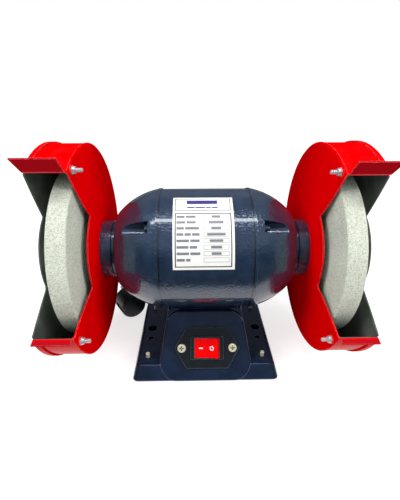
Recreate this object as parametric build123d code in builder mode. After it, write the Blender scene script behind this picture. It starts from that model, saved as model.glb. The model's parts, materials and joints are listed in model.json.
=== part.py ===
"""Bench grinder with two 200 mm wheels.

Frame: +Z up, +X along the shaft, the operator stands at -Y.
Origin: on the bench, under the middle of the shaft.  Millimetres.
"""

import os
from math import asin, atan2, cos, degrees, hypot, radians, sin, sqrt, tan

from build123d import *

os.makedirs("parts", exist_ok=True)

# ---------------------------------------------------------------- driving dimensions
shaft_height = 147.0

# wheels and spindle
wheel_dia = 200.0
wheel_width = 20.0
wheel_bore = 32.0
wheel_gap = 3.4  # wheel side to the guard's dished plate, near the rim
spindle_dia = 16.0
bearing_bore = 17.0
bearing_dia = 40.0
bearing_width = 12.0
washer_thick = 1.0
ball_dia = 6.7
ball_count = 8
rotor_shaft_dia = 22.0
flange_dia = 65.0
flange_thick = 7.0
blotter_thick = 0.8
blotter_dia = 74.0
nut_thick = 10.0
nut_flats = 24.0
thread_past_nut = 2.5

# motor
shell_radius = 71.6
shell_wall = 3.0
shell_length = 100.0
bell_rim_proud = 0.9
bell_rim_width = 3.0
bell_wall = 4.2
dome_length = 48.0
dome_end_radius = 45.0
dome_bulge = 4.6
groove_width = 6.0
groove_radius = 32.5
neck_radius = 34.5
neck_width = 12.7
spigot_radius = 25.0
spigot_length = 3.0
air_gap = 0.5
core_length = 60.0
rotor_radius = 37.5
slot_count = 24
bolt_circle_radius = 62.0
bolt_dia = 5.0
pocket_width = 13.6
pocket_floor_radius = 55.2
pocket_seat = 11.0  # from the shell's end to the bolt seat

# guards
sheet = 1.5
plate_hub_radius = 60.0  # inner arc of the wheel opening
plate_hub_offset = 4.6  # dish at that arc, measured from the neck's end
plate_rim_offset = 10.3  # dish at the rim
band_radius = 123.4
rim_bead = 0.6
guard_width = 52.3  # neck's end to the outer face of the cover's rim
cover_dish = 5.5
cover_flange_width = 5.0
cover_flange_gap = 0.3
opening_top = 60.5  # degrees above the horizontal, seen from the shaft
opening_low = -20.0
guard_turn = {-1: 1.2, 1: -1.2}  # how far each guard is turned as it is screwed on
upper_lip_length = 20.0
upper_lip_tilt = 8.0
lower_lip_length = 8.0
lip_bend = 2.4
cover_screw_inset = 5.4  # from the band's outside to the screws' circle
upper_screw_past = 4.7  # degrees above the opening
lower_screw_past = 7.4  # degrees below the opening
cover_screw_dia = 4.0
cover_screw_head_dia = 8.4
cover_screw_head = 2.4
cover_screw_length = 54.0
cover_nut_flats = 7.6
cover_nut_thick = 3.2
mount_screw_radius = 29.7
mount_screw_count = 3

# base
base_width = 180.0
base_depth = 151.8
base_draft = 4.2
hollow_draft = 2.6
foot_height = 2.0
foot_dia = 20.0
ledge_height = 18.0
ledge_edge_radius = 5.0
base_corner_radius = 7.0
base_wall = 4.0
ledge_width = 33.0  # flat strip each side of the pedestal, at the ledge's height
face_setback = 10.9  # from the base's front edge to the pedestal's face at that height
tower_top_width = 93.0
tower_top_depth = 58.0
tower_corner_radius = 3.0
panel_proud = 5.0  # the pedestal's front panel stands this far before the rest of it, measured level
panel_step = 0.5  # the panel stands this far before the base's own front
panel_shoulder_radius = 20.0  # the panel's sides round over into its top
saddle_width = 84.0
saddle_depth = 46.0
saddle_rise = 3.4  # from the pedestal's top to the barrel's lowest line
foot_inset_x = 17.5
foot_inset_y = 25.9
bottom_screw_inset_x = 32.0
bottom_screw_inset_y = 17.9
foot_screw_dia = 5.0
foot_screw_above = 6.0
bench_hole_dia = 12.5
bench_hole_y = 5.0
small_hole_dia = 6.5
small_hole_y = -16.0
bottom_plate_thick = 1.5
saddle_screw_spacing = 48.0
saddle_screw_dia = 6.0

# switch
switch_x = 2.0
switch_height = 35.0
switch_plate_width = 81.0
switch_plate_height = 50.0
switch_plate_flat = 52.0
switch_plate_thick = 2.5
switch_screw_spacing = 62.6
switch_screw_dia = 4.0
switch_screw_head_dia = 10.4
switch_screw_head = 3.0
switch_screw_past = 2.0
bezel_width = 41.0
bezel_height = 27.8
bezel_thick = 2.0
rocker_width = 30.4
rocker_height = 23.0
rocker_gap = 0.35
rocker_tilt = 12.0
rocker_pivot_depth = 2.0
switch_body_width = 36.8
switch_body_height = 26.0
switch_body_depth = 24.0

# label
label_width = 64.0
label_height = 85.0
label_x = -3.0
label_middle = 42.0  # degrees above the horizontal
label_thick = 0.25

# mains cord and plug
cord_dia = 7.0
cord_exit_x = 40.0
cord_exit_height = 28.0
gland_boss_radius = 9.5
gland_y = 64.0  # the boss's face behind the pedestal
relief_length = 24.0
coil_inner_radius = 32.0
coil_turns_across = 3
coil_layers = 2
coil_pitch = 7.2
coil_y = 150.0
plug_radius = 19.5
plug_length = 32.0
plug_centre = (-113.0, 66.0)
plug_turn = 33.0  # degrees that the plug's neck points behind the +X direction
plug_neck_reach = 40.0
plug_neck_radius = 6.4
plug_tip_radius = 4.6
plug_pin_dia = 4.8
plug_pin_length = 19.0
plug_pin_spacing = 19.0

clearance = 0.3
close_fit = 0.1

# ---------------------------------------------------------------- derived places
half_shell = shell_length / 2
shell_bore = shell_radius - shell_wall
bell_rim_radius = shell_radius + bell_rim_proud
dome_start = half_shell + bell_rim_width
dome_end = dome_start + dome_length
groove_end = dome_end + groove_width
neck_end = groove_end + neck_width  # the guard's dished plate seats here
cover_rim_x = neck_end + guard_width
rim_x = neck_end + plate_rim_offset
wheel_inner_x = neck_end + plate_rim_offset + wheel_gap - 0.4
wheel_outer_x = wheel_inner_x + wheel_width
flange_inner_x = wheel_inner_x - blotter_thick - flange_thick
flange_outer_x = wheel_outer_x + blotter_thick
nut_x = flange_outer_x + flange_thick
shaft_end_x = nut_x + nut_thick + thread_past_nut
bearing_x = dome_end - 3.0 - bearing_width  # inboard face of each bearing
wheel_radius = wheel_dia / 2
ball_circle = (bearing_bore + bearing_dia) / 4
sides = ((-1, "left"), (1, "right"))
shaft_axis = Axis((0, 0, shaft_height), (1, 0, 0))

cover_screw_radius = band_radius - cover_screw_inset
tower_bottom_width = base_width - 2 * ledge_width
tower_bottom_depth = base_depth - 2 * face_setback
tower_top_height = shaft_height - shell_radius - saddle_rise
foot_spacing_x = base_width - 2 * foot_inset_x
foot_spacing_y = base_depth - 2 * foot_inset_y
tower_rise = tower_top_height - ledge_height
tower_run = (tower_bottom_depth - tower_top_depth) / 2
face_angle = atan2(tower_rise, tower_run)


def face_y(height):
    """How far the pedestal's sloping front and rear faces stand from the middle, at a height."""
    return tower_bottom_depth / 2 - (height - ledge_height) * tower_run / tower_rise


face_plane = Plane(
    origin=(switch_x, -face_y(switch_height), switch_height),
    x_dir=(1, 0, 0),
    z_dir=(0, -sin(face_angle), cos(face_angle)),
)


def around(radius, angle):
    """(y, z) of a point round the shaft; 0 degrees points at the operator, 90 degrees up."""
    return (-radius * cos(radians(angle)), shaft_height + radius * sin(radians(angle)))


def on_axis(x, radius):
    """(x, z) of a profile point above the shaft line, for shapes turned round it."""
    return (x, shaft_height + radius)


def save(builder, node):
    builder.part.label = node
    export_step(builder.part, f"parts/{node}.step")


def turned(points):
    """A ring or disc turned round the shaft from (x, radius) corners."""
    with BuildPart() as ring:
        with BuildSketch(Plane.XZ):
            with BuildLine():
                Polyline(*[on_axis(x, r) for x, r in points], close=True)
            make_face()
        revolve(axis=shaft_axis)
    return ring.part


def tube(points, radii, radius):
    """Round tube along straight runs joined by tangent arcs."""
    with BuildPart() as pipe:
        with BuildLine() as path:
            FilletPolyline(*points, radius=radii)
        with BuildSketch(Plane(origin=path.line @ 0, z_dir=path.line % 0)):
            Circle(radius)
        sweep(path=path.line)
    return pipe.part


def bend_radii(points):
    """The largest arc that each corner's two runs allow."""
    corners = [Vector(*p) for p in points]
    radii = []
    for before, corner, after in zip(corners, corners[1:], corners[2:]):
        turn = radians((corner - before).get_angle(after - corner))
        shorter = min((corner - before).length, (after - corner).length)
        radii.append(0.45 * shorter / tan(turn / 2))
    return radii


def cross_head_screw(dia, head_dia, head_thick, length):
    """Pan head screw along +Z: the head's seat is at the origin and the shank runs down."""
    with BuildPart() as screw:
        with BuildSketch(Plane.XY):
            Circle(head_dia / 2)
        extrude(amount=head_thick)
        fillet(screw.edges().group_by(Axis.Z)[-1], head_thick * 0.6)
        with BuildSketch(Plane.XY):
            Circle(dia / 2)
        extrude(amount=-length)
        chamfer(screw.edges().group_by(Axis.Z)[0], dia * 0.1)
        with BuildSketch(Plane.XY.offset(head_thick)):
            Rectangle(head_dia * 0.55, head_dia * 0.13)
            Rectangle(head_dia * 0.13, head_dia * 0.55)
        extrude(amount=-head_thick * 0.55, mode=Mode.SUBTRACT)
    return screw.part


def hex_screw(dia, flats, head_thick, length):
    """Hexagon head screw along +Z, seat at the origin, shank down."""
    with BuildPart() as screw:
        with BuildSketch(Plane.XY):
            RegularPolygon(flats / 2, 6, major_radius=False)
        extrude(amount=head_thick)
        with BuildSketch(Plane.XY):
            Circle(dia / 2)
        extrude(amount=-length)
        chamfer(screw.edges().filter_by(GeomType.CIRCLE).group_by(Axis.Z)[0], dia * 0.1)
    return screw.part


def hex_nut(dia, flats, thick):
    """Hexagon nut on +Z, seat at the origin, with chamfered corners and a bore for its thread."""
    with BuildPart() as nut:
        with BuildSketch(Plane.XY):
            RegularPolygon(flats / 2, 6, major_radius=False)
        extrude(amount=thick)
        with BuildSketch(Plane.XY):
            Circle(flats / 2 + 0.05 * flats)
        extrude(amount=thick, taper=12, mode=Mode.INTERSECT)
        with BuildSketch(Plane.XY):
            Circle(dia / 2 + close_fit)
        extrude(amount=thick, mode=Mode.SUBTRACT)
    return nut.part


def group(piece, places):
    """The same piece at several places, as one group of separate solids."""
    with BuildPart() as copies:
        with Locations(*places):
            add(piece)
    return copies


def along_shaft(x, y, z, outward):
    """Place for a fastener whose head points along +X (outward 1) or -X (outward -1)."""
    return Plane(origin=(x, y, z), x_dir=(0, 0, 1), z_dir=(outward, 0, 0)).location



# ---------------------------------------------------------------- base
barrel_foot = shaft_height - sqrt(shell_radius**2 - (saddle_depth / 2) ** 2)
ledge_under = ledge_height - base_wall
foot_places = [(sx * foot_spacing_x / 2, sy * foot_spacing_y / 2) for sx in (-1, 1) for sy in (-1, 1)]
bottom_screw_x = base_width / 2 - bottom_screw_inset_x
bottom_screw_y = base_depth / 2 - bottom_screw_inset_y
plate_screw_places = [(sx * bottom_screw_x, sy * bottom_screw_y) for sx in (-1, 1) for sy in (-1, 1)]
bench_hole_places = [(sx * foot_spacing_x / 2, bench_hole_y) for sx in (-1, 1)]
small_hole_places = [(sx * foot_spacing_x / 2, small_hole_y) for sx in (-1, 1)]
saddle_places = [(sx * saddle_screw_spacing / 2, 0) for sx in (-1, 1)]
plate_boss_radius = 4.0
plate_screw_dia = 3.0
plate_screw_head_dia = 5.6
plate_screw_head = 1.5
plate_screw_grip = 7.0
saddle_head_flats = 10.0
saddle_head_thick = 4.0
relief_hole_radius = 6.1
lead_hole_radius = 4.0
lead_hole_x = core_length / 2 + lead_hole_radius + 2.5
earth_screw_dia = 4.0
earth_place = (8.0, 0)


front_wall = base_wall / sin(face_angle)  # the sloping wall, measured level


def tower_width(height):
    spread = (tower_top_height - height) / tower_rise
    return tower_top_width + spread * (tower_bottom_width - tower_top_width)


def shoulders(inset, bottom, top):
    """The panel's outline from the front, a little wide of the pedestal's sides, rounded over at the top."""
    spread = shoulder_spare - inset
    with BuildPart() as block:
        with BuildSketch(Plane.XZ.offset(-base_depth)) as outline:
            Polygon(
                (-tower_width(bottom) / 2 - spread, bottom),
                (tower_width(bottom) / 2 + spread, bottom),
                (tower_width(top) / 2 + spread, top),
                (-tower_width(top) / 2 - spread, top),
                align=None,
            )
            fillet(outline.vertices().group_by(Axis.Z)[-1], panel_shoulder_radius - inset)
        extrude(amount=2 * base_depth)
    return block.part


def tower(inset, bottom, top, edge_radius):
    """The pedestal's drafted block, or its hollow when it is inset by a wall."""
    setback = panel_proud + 1.2 * inset
    with BuildPart() as beside_panel:
        with BuildSketch(Plane.YZ.offset(-base_width)):
            Polygon(
                (setback - face_y(bottom), bottom),
                (setback - face_y(top), top),
                (-base_depth, top),
                (-base_depth, bottom),
                align=None,
            )
        extrude(amount=2 * base_width)
        add(shoulders(inset, bottom, top), mode=Mode.SUBTRACT)
    with BuildPart() as block:
        for height in (bottom, top):
            with BuildSketch(Plane.XY.offset(height)):
                RectangleRounded(
                    tower_width(height) - 2 * inset, 2 * face_y(height) - 2.4 * inset, tower_corner_radius
                )
        loft()
        if edge_radius:
            fillet(block.edges().group_by(Axis.Z)[-1], edge_radius)
        add(beside_panel.part, mode=Mode.SUBTRACT)
    return block.part


def base_outline(height, inset, behind_panel):
    """Middle, width and depth of the base at a height; its front slopes `behind_panel` behind the panel's."""
    front = face_y(height) - behind_panel
    rear = base_depth / 2 - inset
    return (rear - front) / 2, base_width - 2 * inset, rear + front


shoulder_spare = 0.3
tower_shape = tower(0.0, foot_height, tower_top_height, base_wall * 0.6)
tower_hollow = tower(base_wall, ledge_under - 0.5, tower_top_height - base_wall, 0.0)

with BuildPart() as base_hollow:
    for height, draft in ((foot_height, 0.0), (ledge_under, hollow_draft)):
        middle, width, depth = base_outline(height, base_wall + draft, panel_step + front_wall)
        with BuildSketch(Plane.XY.offset(height)):
            with Locations((0, middle)):
                RectangleRounded(width, depth, base_corner_radius - base_wall / 2)
    loft()

with BuildPart() as base_casting:
    for height, draft in ((foot_height, 0.0), (ledge_height, base_draft)):
        middle, width, depth = base_outline(height, draft, panel_step)
        with BuildSketch(Plane.XY.offset(height)):
            with Locations((0, middle)):
                RectangleRounded(width, depth, base_corner_radius)
    loft()
    fillet(base_casting.edges().group_by(Axis.Z)[-1], ledge_edge_radius)
    add(tower_shape)
    with BuildSketch(Plane.XY.offset(tower_top_height - base_wall)):
        Rectangle(saddle_width, saddle_depth)
    extrude(amount=barrel_foot - tower_top_height + base_wall)
    with BuildSketch(Plane.XZ.offset(-gland_y)):
        with Locations((cord_exit_x, cord_exit_height)):
            Circle(gland_boss_radius)
    extrude(amount=3 * base_wall)
    with BuildSketch(Plane.YZ.offset(-saddle_width)):
        with Locations((0, shaft_height)):
            Circle(shell_radius + close_fit / 2)
    extrude(amount=2 * saddle_width, mode=Mode.SUBTRACT)
    add([base_hollow.part, tower_hollow], mode=Mode.SUBTRACT)
    with BuildSketch(Plane.XY.offset(foot_height + bottom_plate_thick)):
        with Locations(*plate_screw_places):
            Circle(plate_boss_radius)
    extrude(amount=ledge_height - foot_height - bottom_plate_thick - 1.0)
    with BuildSketch(Plane.XY):
        with Locations(*plate_screw_places):
            Circle(plate_screw_dia / 2 + close_fit)
    extrude(amount=ledge_under, mode=Mode.SUBTRACT)
    with BuildSketch(Plane.XY):
        with Locations(*foot_places):
            Circle(foot_screw_dia / 2 + close_fit)
        with Locations(*bench_hole_places):
            Circle(bench_hole_dia / 2)
        with Locations(*small_hole_places):
            Circle(small_hole_dia / 2)
    extrude(amount=2 * ledge_height, mode=Mode.SUBTRACT)
    with BuildSketch(Plane.XY):
        with Locations(*saddle_places):
            Circle(saddle_screw_dia / 2 + close_fit)
        with Locations((lead_hole_x, 0)):
            Circle(lead_hole_radius)
        with Locations(earth_place):
            Circle(earth_screw_dia / 2 + close_fit)
    extrude(amount=shaft_height, mode=Mode.SUBTRACT)
    with BuildSketch(face_plane.offset(-3 * base_wall)):
        Rectangle(switch_body_width + 2 * close_fit, switch_body_height + 2 * close_fit)
        with GridLocations(switch_screw_spacing, 1, 2, 1):
            Circle(switch_screw_dia / 2 + close_fit)
    extrude(amount=4 * base_wall, mode=Mode.SUBTRACT)
    with BuildSketch(Plane.XZ.offset(-gland_y - base_wall)):
        with Locations((cord_exit_x, cord_exit_height)):
            Circle(relief_hole_radius)
    extrude(amount=6 * base_wall, mode=Mode.SUBTRACT)
save(base_casting, "base_casting")

with BuildPart() as base_bottom_plate:
    with BuildSketch(Plane.XY.offset(foot_height)):
        RectangleRounded(
            base_width - 2 * base_wall - 2 * clearance,
            2 * (face_y(foot_height + bottom_plate_thick) - panel_step - front_wall - clearance),
            base_corner_radius - base_wall / 2,
        )
        with Locations(*foot_places):
            Circle(foot_dia / 2 + clearance, mode=Mode.SUBTRACT)
        with Locations(*plate_screw_places):
            Circle(plate_screw_dia / 2 + close_fit, mode=Mode.SUBTRACT)
        with Locations(*bench_hole_places):
            Circle(bench_hole_dia / 2 + 1.0, mode=Mode.SUBTRACT)
        with Locations(*small_hole_places):
            Circle(small_hole_dia / 2 + 1.0, mode=Mode.SUBTRACT)
    extrude(amount=bottom_plate_thick, taper=8)
save(base_bottom_plate, "base_bottom_plate")

plate_screw = cross_head_screw(
    plate_screw_dia, plate_screw_head_dia, plate_screw_head, bottom_plate_thick + plate_screw_grip
)
bottom_plate_screws = group(
    plate_screw,
    [Plane(origin=(x, y, foot_height), z_dir=(0, 0, -1)).location for x, y in plate_screw_places],
)
save(bottom_plate_screws, "bottom_plate_screws")

foot_head_depth = 4.0
with BuildPart() as rubber_feet:
    with Locations(*foot_places):
        Cylinder(foot_dia / 2, ledge_under, align=(Align.CENTER, Align.CENTER, Align.MIN))
    chamfer(rubber_feet.edges().filter_by(GeomType.CIRCLE).group_by(Axis.Z)[0], 1.0)
    with BuildSketch(Plane.XY):
        with Locations(*foot_places):
            Circle(foot_screw_dia)
    extrude(amount=foot_head_depth, mode=Mode.SUBTRACT)
    with BuildSketch(Plane.XY):
        with Locations(*foot_places):
            Circle(foot_screw_dia / 2 + close_fit)
    extrude(amount=ledge_under, mode=Mode.SUBTRACT)
save(rubber_feet, "rubber_feet")

foot_screw = cross_head_screw(
    foot_screw_dia, 2 * foot_screw_dia - 1.0, 3.0, ledge_height + foot_screw_above - foot_head_depth
)
foot_screws = group(
    foot_screw, [Plane(origin=(x, y, foot_head_depth), z_dir=(0, 0, -1)).location for x, y in foot_places]
)
save(foot_screws, "foot_screws")

# ---------------------------------------------------------------- motor housing
with BuildPart() as motor_shell:
    with BuildSketch(Plane.YZ.offset(-half_shell)):
        with Locations((0, shaft_height)):
            Circle(shell_radius)
            Circle(shell_bore, mode=Mode.SUBTRACT)
    extrude(amount=shell_length)
    with BuildSketch(Plane.XY):
        with Locations((lead_hole_x, 0)):
            Circle(lead_hole_radius)
        with Locations(*saddle_places):
            Circle(saddle_screw_dia / 2 + close_fit)
    extrude(amount=shaft_height - shell_bore + shell_wall, mode=Mode.SUBTRACT)
save(motor_shell, "motor_shell")

saddle_screw_length = shaft_height - shell_bore - clearance - tower_top_height + base_wall
saddle_screw = hex_screw(saddle_screw_dia, saddle_head_flats, saddle_head_thick, saddle_screw_length)
saddle_screws = group(
    saddle_screw,
    [Plane(origin=(x, y, tower_top_height - base_wall), z_dir=(0, 0, -1)).location for x, y in saddle_places],
)
save(saddle_screws, "saddle_screws")

slot_root_radius = 56.0
slot_mouth = 2.4
slot_body = 5.0
tooth_tip = 2.0
stator_bore = rotor_radius + air_gap
stator_outer = shell_bore - close_fit / 2
bolt_places = [around(bolt_circle_radius, angle) for angle in (45, 135, 225, 315)]
with BuildPart() as stator_core:
    with BuildSketch(Plane.YZ.offset(-core_length / 2)):
        with Locations((0, shaft_height)):
            Circle(stator_outer)
            Circle(stator_bore, mode=Mode.SUBTRACT)
            with PolarLocations(0, slot_count, start_angle=180 / slot_count):
                with Locations(((stator_bore + slot_root_radius) / 2, 0)):
                    Rectangle(slot_root_radius - stator_bore + 2, slot_mouth, mode=Mode.SUBTRACT)
            with PolarLocations(0, slot_count, start_angle=180 / slot_count):
                with Locations(((stator_bore + tooth_tip + slot_root_radius) / 2, 0)):
                    Rectangle(slot_root_radius - stator_bore - tooth_tip, slot_body, mode=Mode.SUBTRACT)
        with Locations(*bolt_places):
            Circle(bolt_dia / 2 + 0.5, mode=Mode.SUBTRACT)
    extrude(amount=core_length)
save(stator_core, "stator_core")

winding_overhang = 15.0
coil_low = stator_bore + tooth_tip + clearance + 1.0
coil_high = slot_root_radius - clearance
with BuildPart() as stator_windings:
    with BuildSketch(Plane.YZ.offset(-core_length / 2 - clearance)):
        with Locations((0, shaft_height)):
            with PolarLocations(0, slot_count, start_angle=180 / slot_count):
                with Locations(((coil_low + coil_high) / 2, 0)):
                    Rectangle(coil_high - coil_low, slot_body - 2 * clearance)
    extrude(amount=core_length + 2 * clearance)
    for end in (-1, 1):
        start = core_length / 2 + clearance
        with BuildSketch(Plane.XZ):
            with BuildLine():
                Polyline(
                    on_axis(end * start, coil_low),
                    on_axis(end * (start + winding_overhang), coil_low + 2),
                    on_axis(end * (start + winding_overhang), coil_high - 1),
                    on_axis(end * start, coil_high),
                    close=True,
                )
            make_face()
        revolve(axis=shaft_axis)
    fillet(
        stator_windings.edges().filter_by(GeomType.CIRCLE).group_by(Axis.X)[0]
        + stator_windings.edges().filter_by(GeomType.CIRCLE).group_by(Axis.X)[-1],
        3.5,
    )
save(stator_windings, "stator_windings")

pocket_angles = (45, 135, 225, 315)
pocket_reach = 40.0  # how far outwards each pocket is cut, past the dome
seat_x = half_shell + pocket_seat
hub_radius = bearing_dia / 2 + 6.0
dome_chord = hypot(dome_length, bell_rim_radius - 0.4 - dome_end_radius)
dome_tip = ((bell_rim_radius - 0.4 - dome_end_radius) / dome_chord, dome_length / dome_chord)


def dome_mid(inset):
    """Middle point of the dome's arc, inset towards the inside of the bell."""
    reach = dome_bulge - inset
    x = (dome_start + dome_end) / 2 + dome_tip[0] * reach
    r = (bell_rim_radius - 0.4 + dome_end_radius) / 2 + dome_tip[1] * reach
    return x, r


def end_bell(side):
    """Cast end bell: dome, neck for the guard, bearing seat and four bolt pockets."""
    with BuildPart() as hollow:
        with BuildSketch(Plane.XZ):
            with BuildLine():
                start = on_axis(side * (half_shell - 4.0), shell_bore - 3.0)
                arc_start = on_axis(side * (dome_start + 1.0), shell_bore - 3.0)
                arc_end = on_axis(side * (dome_end - bell_wall), dome_end_radius - bell_wall + 1.0)
                mid_x, mid_r = dome_mid(bell_wall + 0.6)
                hub_corner = on_axis(side * (dome_end - bell_wall), hub_radius)
                hub_face = on_axis(side * (bearing_x - 2.0), hub_radius)
                bore_face = on_axis(side * (bearing_x - 2.0), 0)
                base_face = on_axis(side * (half_shell - 4.0), 0)
                Line(start, arc_start)
                ThreePointArc(arc_start, on_axis(side * mid_x, mid_r), arc_end)
                Polyline(arc_end, hub_corner, hub_face, bore_face, base_face, start)
            make_face()
        revolve(axis=shaft_axis)
        for angle in pocket_angles:
            y, z = around(pocket_floor_radius + 12.0, angle)
            tilt = Plane(
                origin=(0, y, z), x_dir=(0, sin(radians(angle)), cos(radians(angle))), z_dir=(1, 0, 0)
            )
            with BuildSketch(tilt.offset(min(side * (seat_x - bell_wall), side * dome_end))):
                Rectangle(pocket_width + 2 * bell_wall, 24.0 + 2 * bell_wall)
            extrude(amount=dome_end - seat_x + bell_wall, mode=Mode.SUBTRACT)
    with BuildPart() as bell:
        with BuildSketch(Plane.XZ):
            with BuildLine():
                inner = on_axis(side * (half_shell - 4.0), 0)
                register = on_axis(side * (half_shell - 4.0), shell_bore - close_fit / 2)
                step = on_axis(side * half_shell, shell_bore - close_fit / 2)
                rim = on_axis(side * half_shell, bell_rim_radius)
                rim_top = on_axis(side * dome_start, bell_rim_radius)
                dome_low = on_axis(side * dome_start, bell_rim_radius - 0.4)
                dome_out = on_axis(side * dome_end, dome_end_radius)
                mid_x, mid_r = dome_mid(0.0)
                Polyline(inner, register, step, rim, rim_top, dome_low)
                ThreePointArc(dome_low, on_axis(side * mid_x, mid_r), dome_out)
                Polyline(
                    dome_out,
                    on_axis(side * (dome_end + 1.5), dome_end_radius - 4.0),
                    on_axis(side * (dome_end + 1.5), groove_radius),
                    on_axis(side * groove_end, groove_radius),
                    on_axis(side * groove_end, neck_radius - 0.8),
                    on_axis(side * (groove_end + 0.8), neck_radius),
                    on_axis(side * neck_end, neck_radius),
                    on_axis(side * neck_end, spigot_radius),
                    on_axis(side * (neck_end + spigot_length), spigot_radius),
                    on_axis(side * (neck_end + spigot_length), 0),
                    inner,
                )
            make_face()
        revolve(axis=shaft_axis)
        add(hollow.part, mode=Mode.SUBTRACT)
        for x0, x1, radius in (
            (bearing_x - 5.0, bearing_x + bearing_width, bearing_dia / 2 + close_fit / 2),
            (bearing_x, neck_end + spigot_length + 1.0, rotor_shaft_dia / 2),
            (bearing_x + bearing_width, bearing_x + bearing_width + 1.5, bearing_dia / 2 - 4.0),
        ):
            with BuildSketch(Plane.YZ.offset(min(side * x0, side * x1))):
                with Locations((0, shaft_height)):
                    Circle(radius)
            extrude(amount=x1 - x0, mode=Mode.SUBTRACT)
        for angle in pocket_angles:
            y, z = around(pocket_floor_radius + pocket_reach / 2, angle)
            tilt = Plane(
                origin=(0, y, z), x_dir=(0, sin(radians(angle)), cos(radians(angle))), z_dir=(1, 0, 0)
            )
            with BuildSketch(tilt.offset(min(side * seat_x, side * (dome_end + 5)))):
                RectangleRounded(pocket_width, pocket_reach, pocket_width / 2 - clearance)
            extrude(amount=dome_end + 5 - seat_x, mode=Mode.SUBTRACT)
        with BuildSketch(Plane.YZ.offset(min(side * (half_shell - 5), side * (seat_x + 1)))):
            with Locations(*bolt_places):
                Circle(bolt_dia / 2 + close_fit)
        extrude(amount=pocket_seat + 6, mode=Mode.SUBTRACT)
        with BuildSketch(Plane.YZ.offset(min(side * (neck_end - 10), side * (neck_end + 1)))):
            with Locations(*mount_places(side)):
                Circle(bolt_dia / 2 + close_fit)
        extrude(amount=11, mode=Mode.SUBTRACT)
    return bell


def mount_places(side):
    """Places of the screws that hold a guard on its bell's neck, turned with the guard."""
    step = 360 / mount_screw_count
    return [around(mount_screw_radius, 90 + guard_turn[side] + step * n) for n in range(mount_screw_count)]


for side, name in sides:
    save(end_bell(side), f"end_bell_{name}")


# ---------------------------------------------------------------- bearings
bearing_start = {-1: bearing_x, 1: bearing_x - washer_thick}
race_radius = ball_dia / 2 + close_fit / 2
inner_ring_radius = ball_circle - 2.35
outer_ring_radius = ball_circle + 2.35
cage_radii = (ball_circle - 1.1, ball_circle + 1.0)
cage_width = ball_dia + 1.7


def bearing_middle(side):
    return side * (bearing_start[side] + bearing_width / 2)


def bearing_ring(side, inner_radius, outer_radius):
    """A bearing's ring with the groove that its balls run in."""
    with BuildPart() as ring:
        with BuildSketch(Plane.XZ):
            with Locations(on_axis(bearing_middle(side), (inner_radius + outer_radius) / 2)):
                Rectangle(bearing_width, outer_radius - inner_radius)
            with Locations(on_axis(bearing_middle(side), ball_circle)):
                Circle(race_radius, mode=Mode.SUBTRACT)
        revolve(axis=shaft_axis)
    return ring


for side, name in sides:
    save(bearing_ring(side, outer_ring_radius, bearing_dia / 2), f"bearing_outer_{name}")
    save(bearing_ring(side, bearing_bore / 2, inner_ring_radius), f"bearing_inner_{name}")
    with BuildPart() as bearing_cage:
        with BuildSketch(Plane.YZ.offset(bearing_middle(side) - cage_width / 2)):
            with Locations((0, shaft_height)):
                Circle(cage_radii[1])
                Circle(cage_radii[0], mode=Mode.SUBTRACT)
        extrude(amount=cage_width)
        for n in range(ball_count):
            y, z = around(1.0, n * 360 / ball_count)
            with BuildSketch(
                Plane(origin=(bearing_middle(side), 0, shaft_height), z_dir=(0, y, z - shaft_height))
            ):
                Circle(race_radius)
            extrude(amount=bearing_dia / 2, mode=Mode.SUBTRACT)
    save(bearing_cage, f"bearing_cage_{name}")
    with BuildPart() as bearing_balls:
        places = [around(ball_circle, n * 360 / ball_count) for n in range(ball_count)]
        with Locations(*[(bearing_middle(side), y, z) for y, z in places]):
            Sphere(ball_dia / 2)
    save(bearing_balls, f"bearing_balls_{name}")

with BuildPart() as wave_washer:
    with BuildSketch(Plane.YZ.offset(bearing_x + bearing_width - washer_thick)):
        with Locations((0, shaft_height)):
            Circle(bearing_dia / 2 - clearance)
            Circle(bearing_dia / 2 - 3.4, mode=Mode.SUBTRACT)
    extrude(amount=washer_thick)
save(wave_washer, "wave_washer")

# ---------------------------------------------------------------- rotor and wheels
end_ring_width = 7.0
fan_blade_count = 8
fan_blade_radius = stator_bore + 0.5
with BuildPart() as shaft:
    with BuildSketch(Plane.XZ):
        with BuildLine():
            Polyline(
                on_axis(-shaft_end_x, 0),
                on_axis(-shaft_end_x, spindle_dia / 2 - 1.0),
                on_axis(1.0 - shaft_end_x, spindle_dia / 2),
                on_axis(-flange_inner_x, spindle_dia / 2),
                on_axis(-flange_inner_x, bearing_bore / 2),
                on_axis(-bearing_start[-1], bearing_bore / 2),
                on_axis(-bearing_start[-1], rotor_shaft_dia / 2),
                on_axis(bearing_start[1], rotor_shaft_dia / 2),
                on_axis(bearing_start[1], bearing_bore / 2),
                on_axis(flange_inner_x, bearing_bore / 2),
                on_axis(flange_inner_x, spindle_dia / 2),
                on_axis(shaft_end_x - 1.0, spindle_dia / 2),
                on_axis(shaft_end_x, spindle_dia / 2 - 1.0),
                on_axis(shaft_end_x, 0),
                close=True,
            )
        make_face()
    revolve(axis=shaft_axis)
save(shaft, "shaft")

with BuildPart() as rotor_core:
    with BuildSketch(Plane.YZ.offset(-core_length / 2)):
        with Locations((0, shaft_height)):
            Circle(rotor_radius)
            Circle(rotor_shaft_dia / 2, mode=Mode.SUBTRACT)
    extrude(amount=core_length)
save(rotor_core, "rotor_core")

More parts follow.
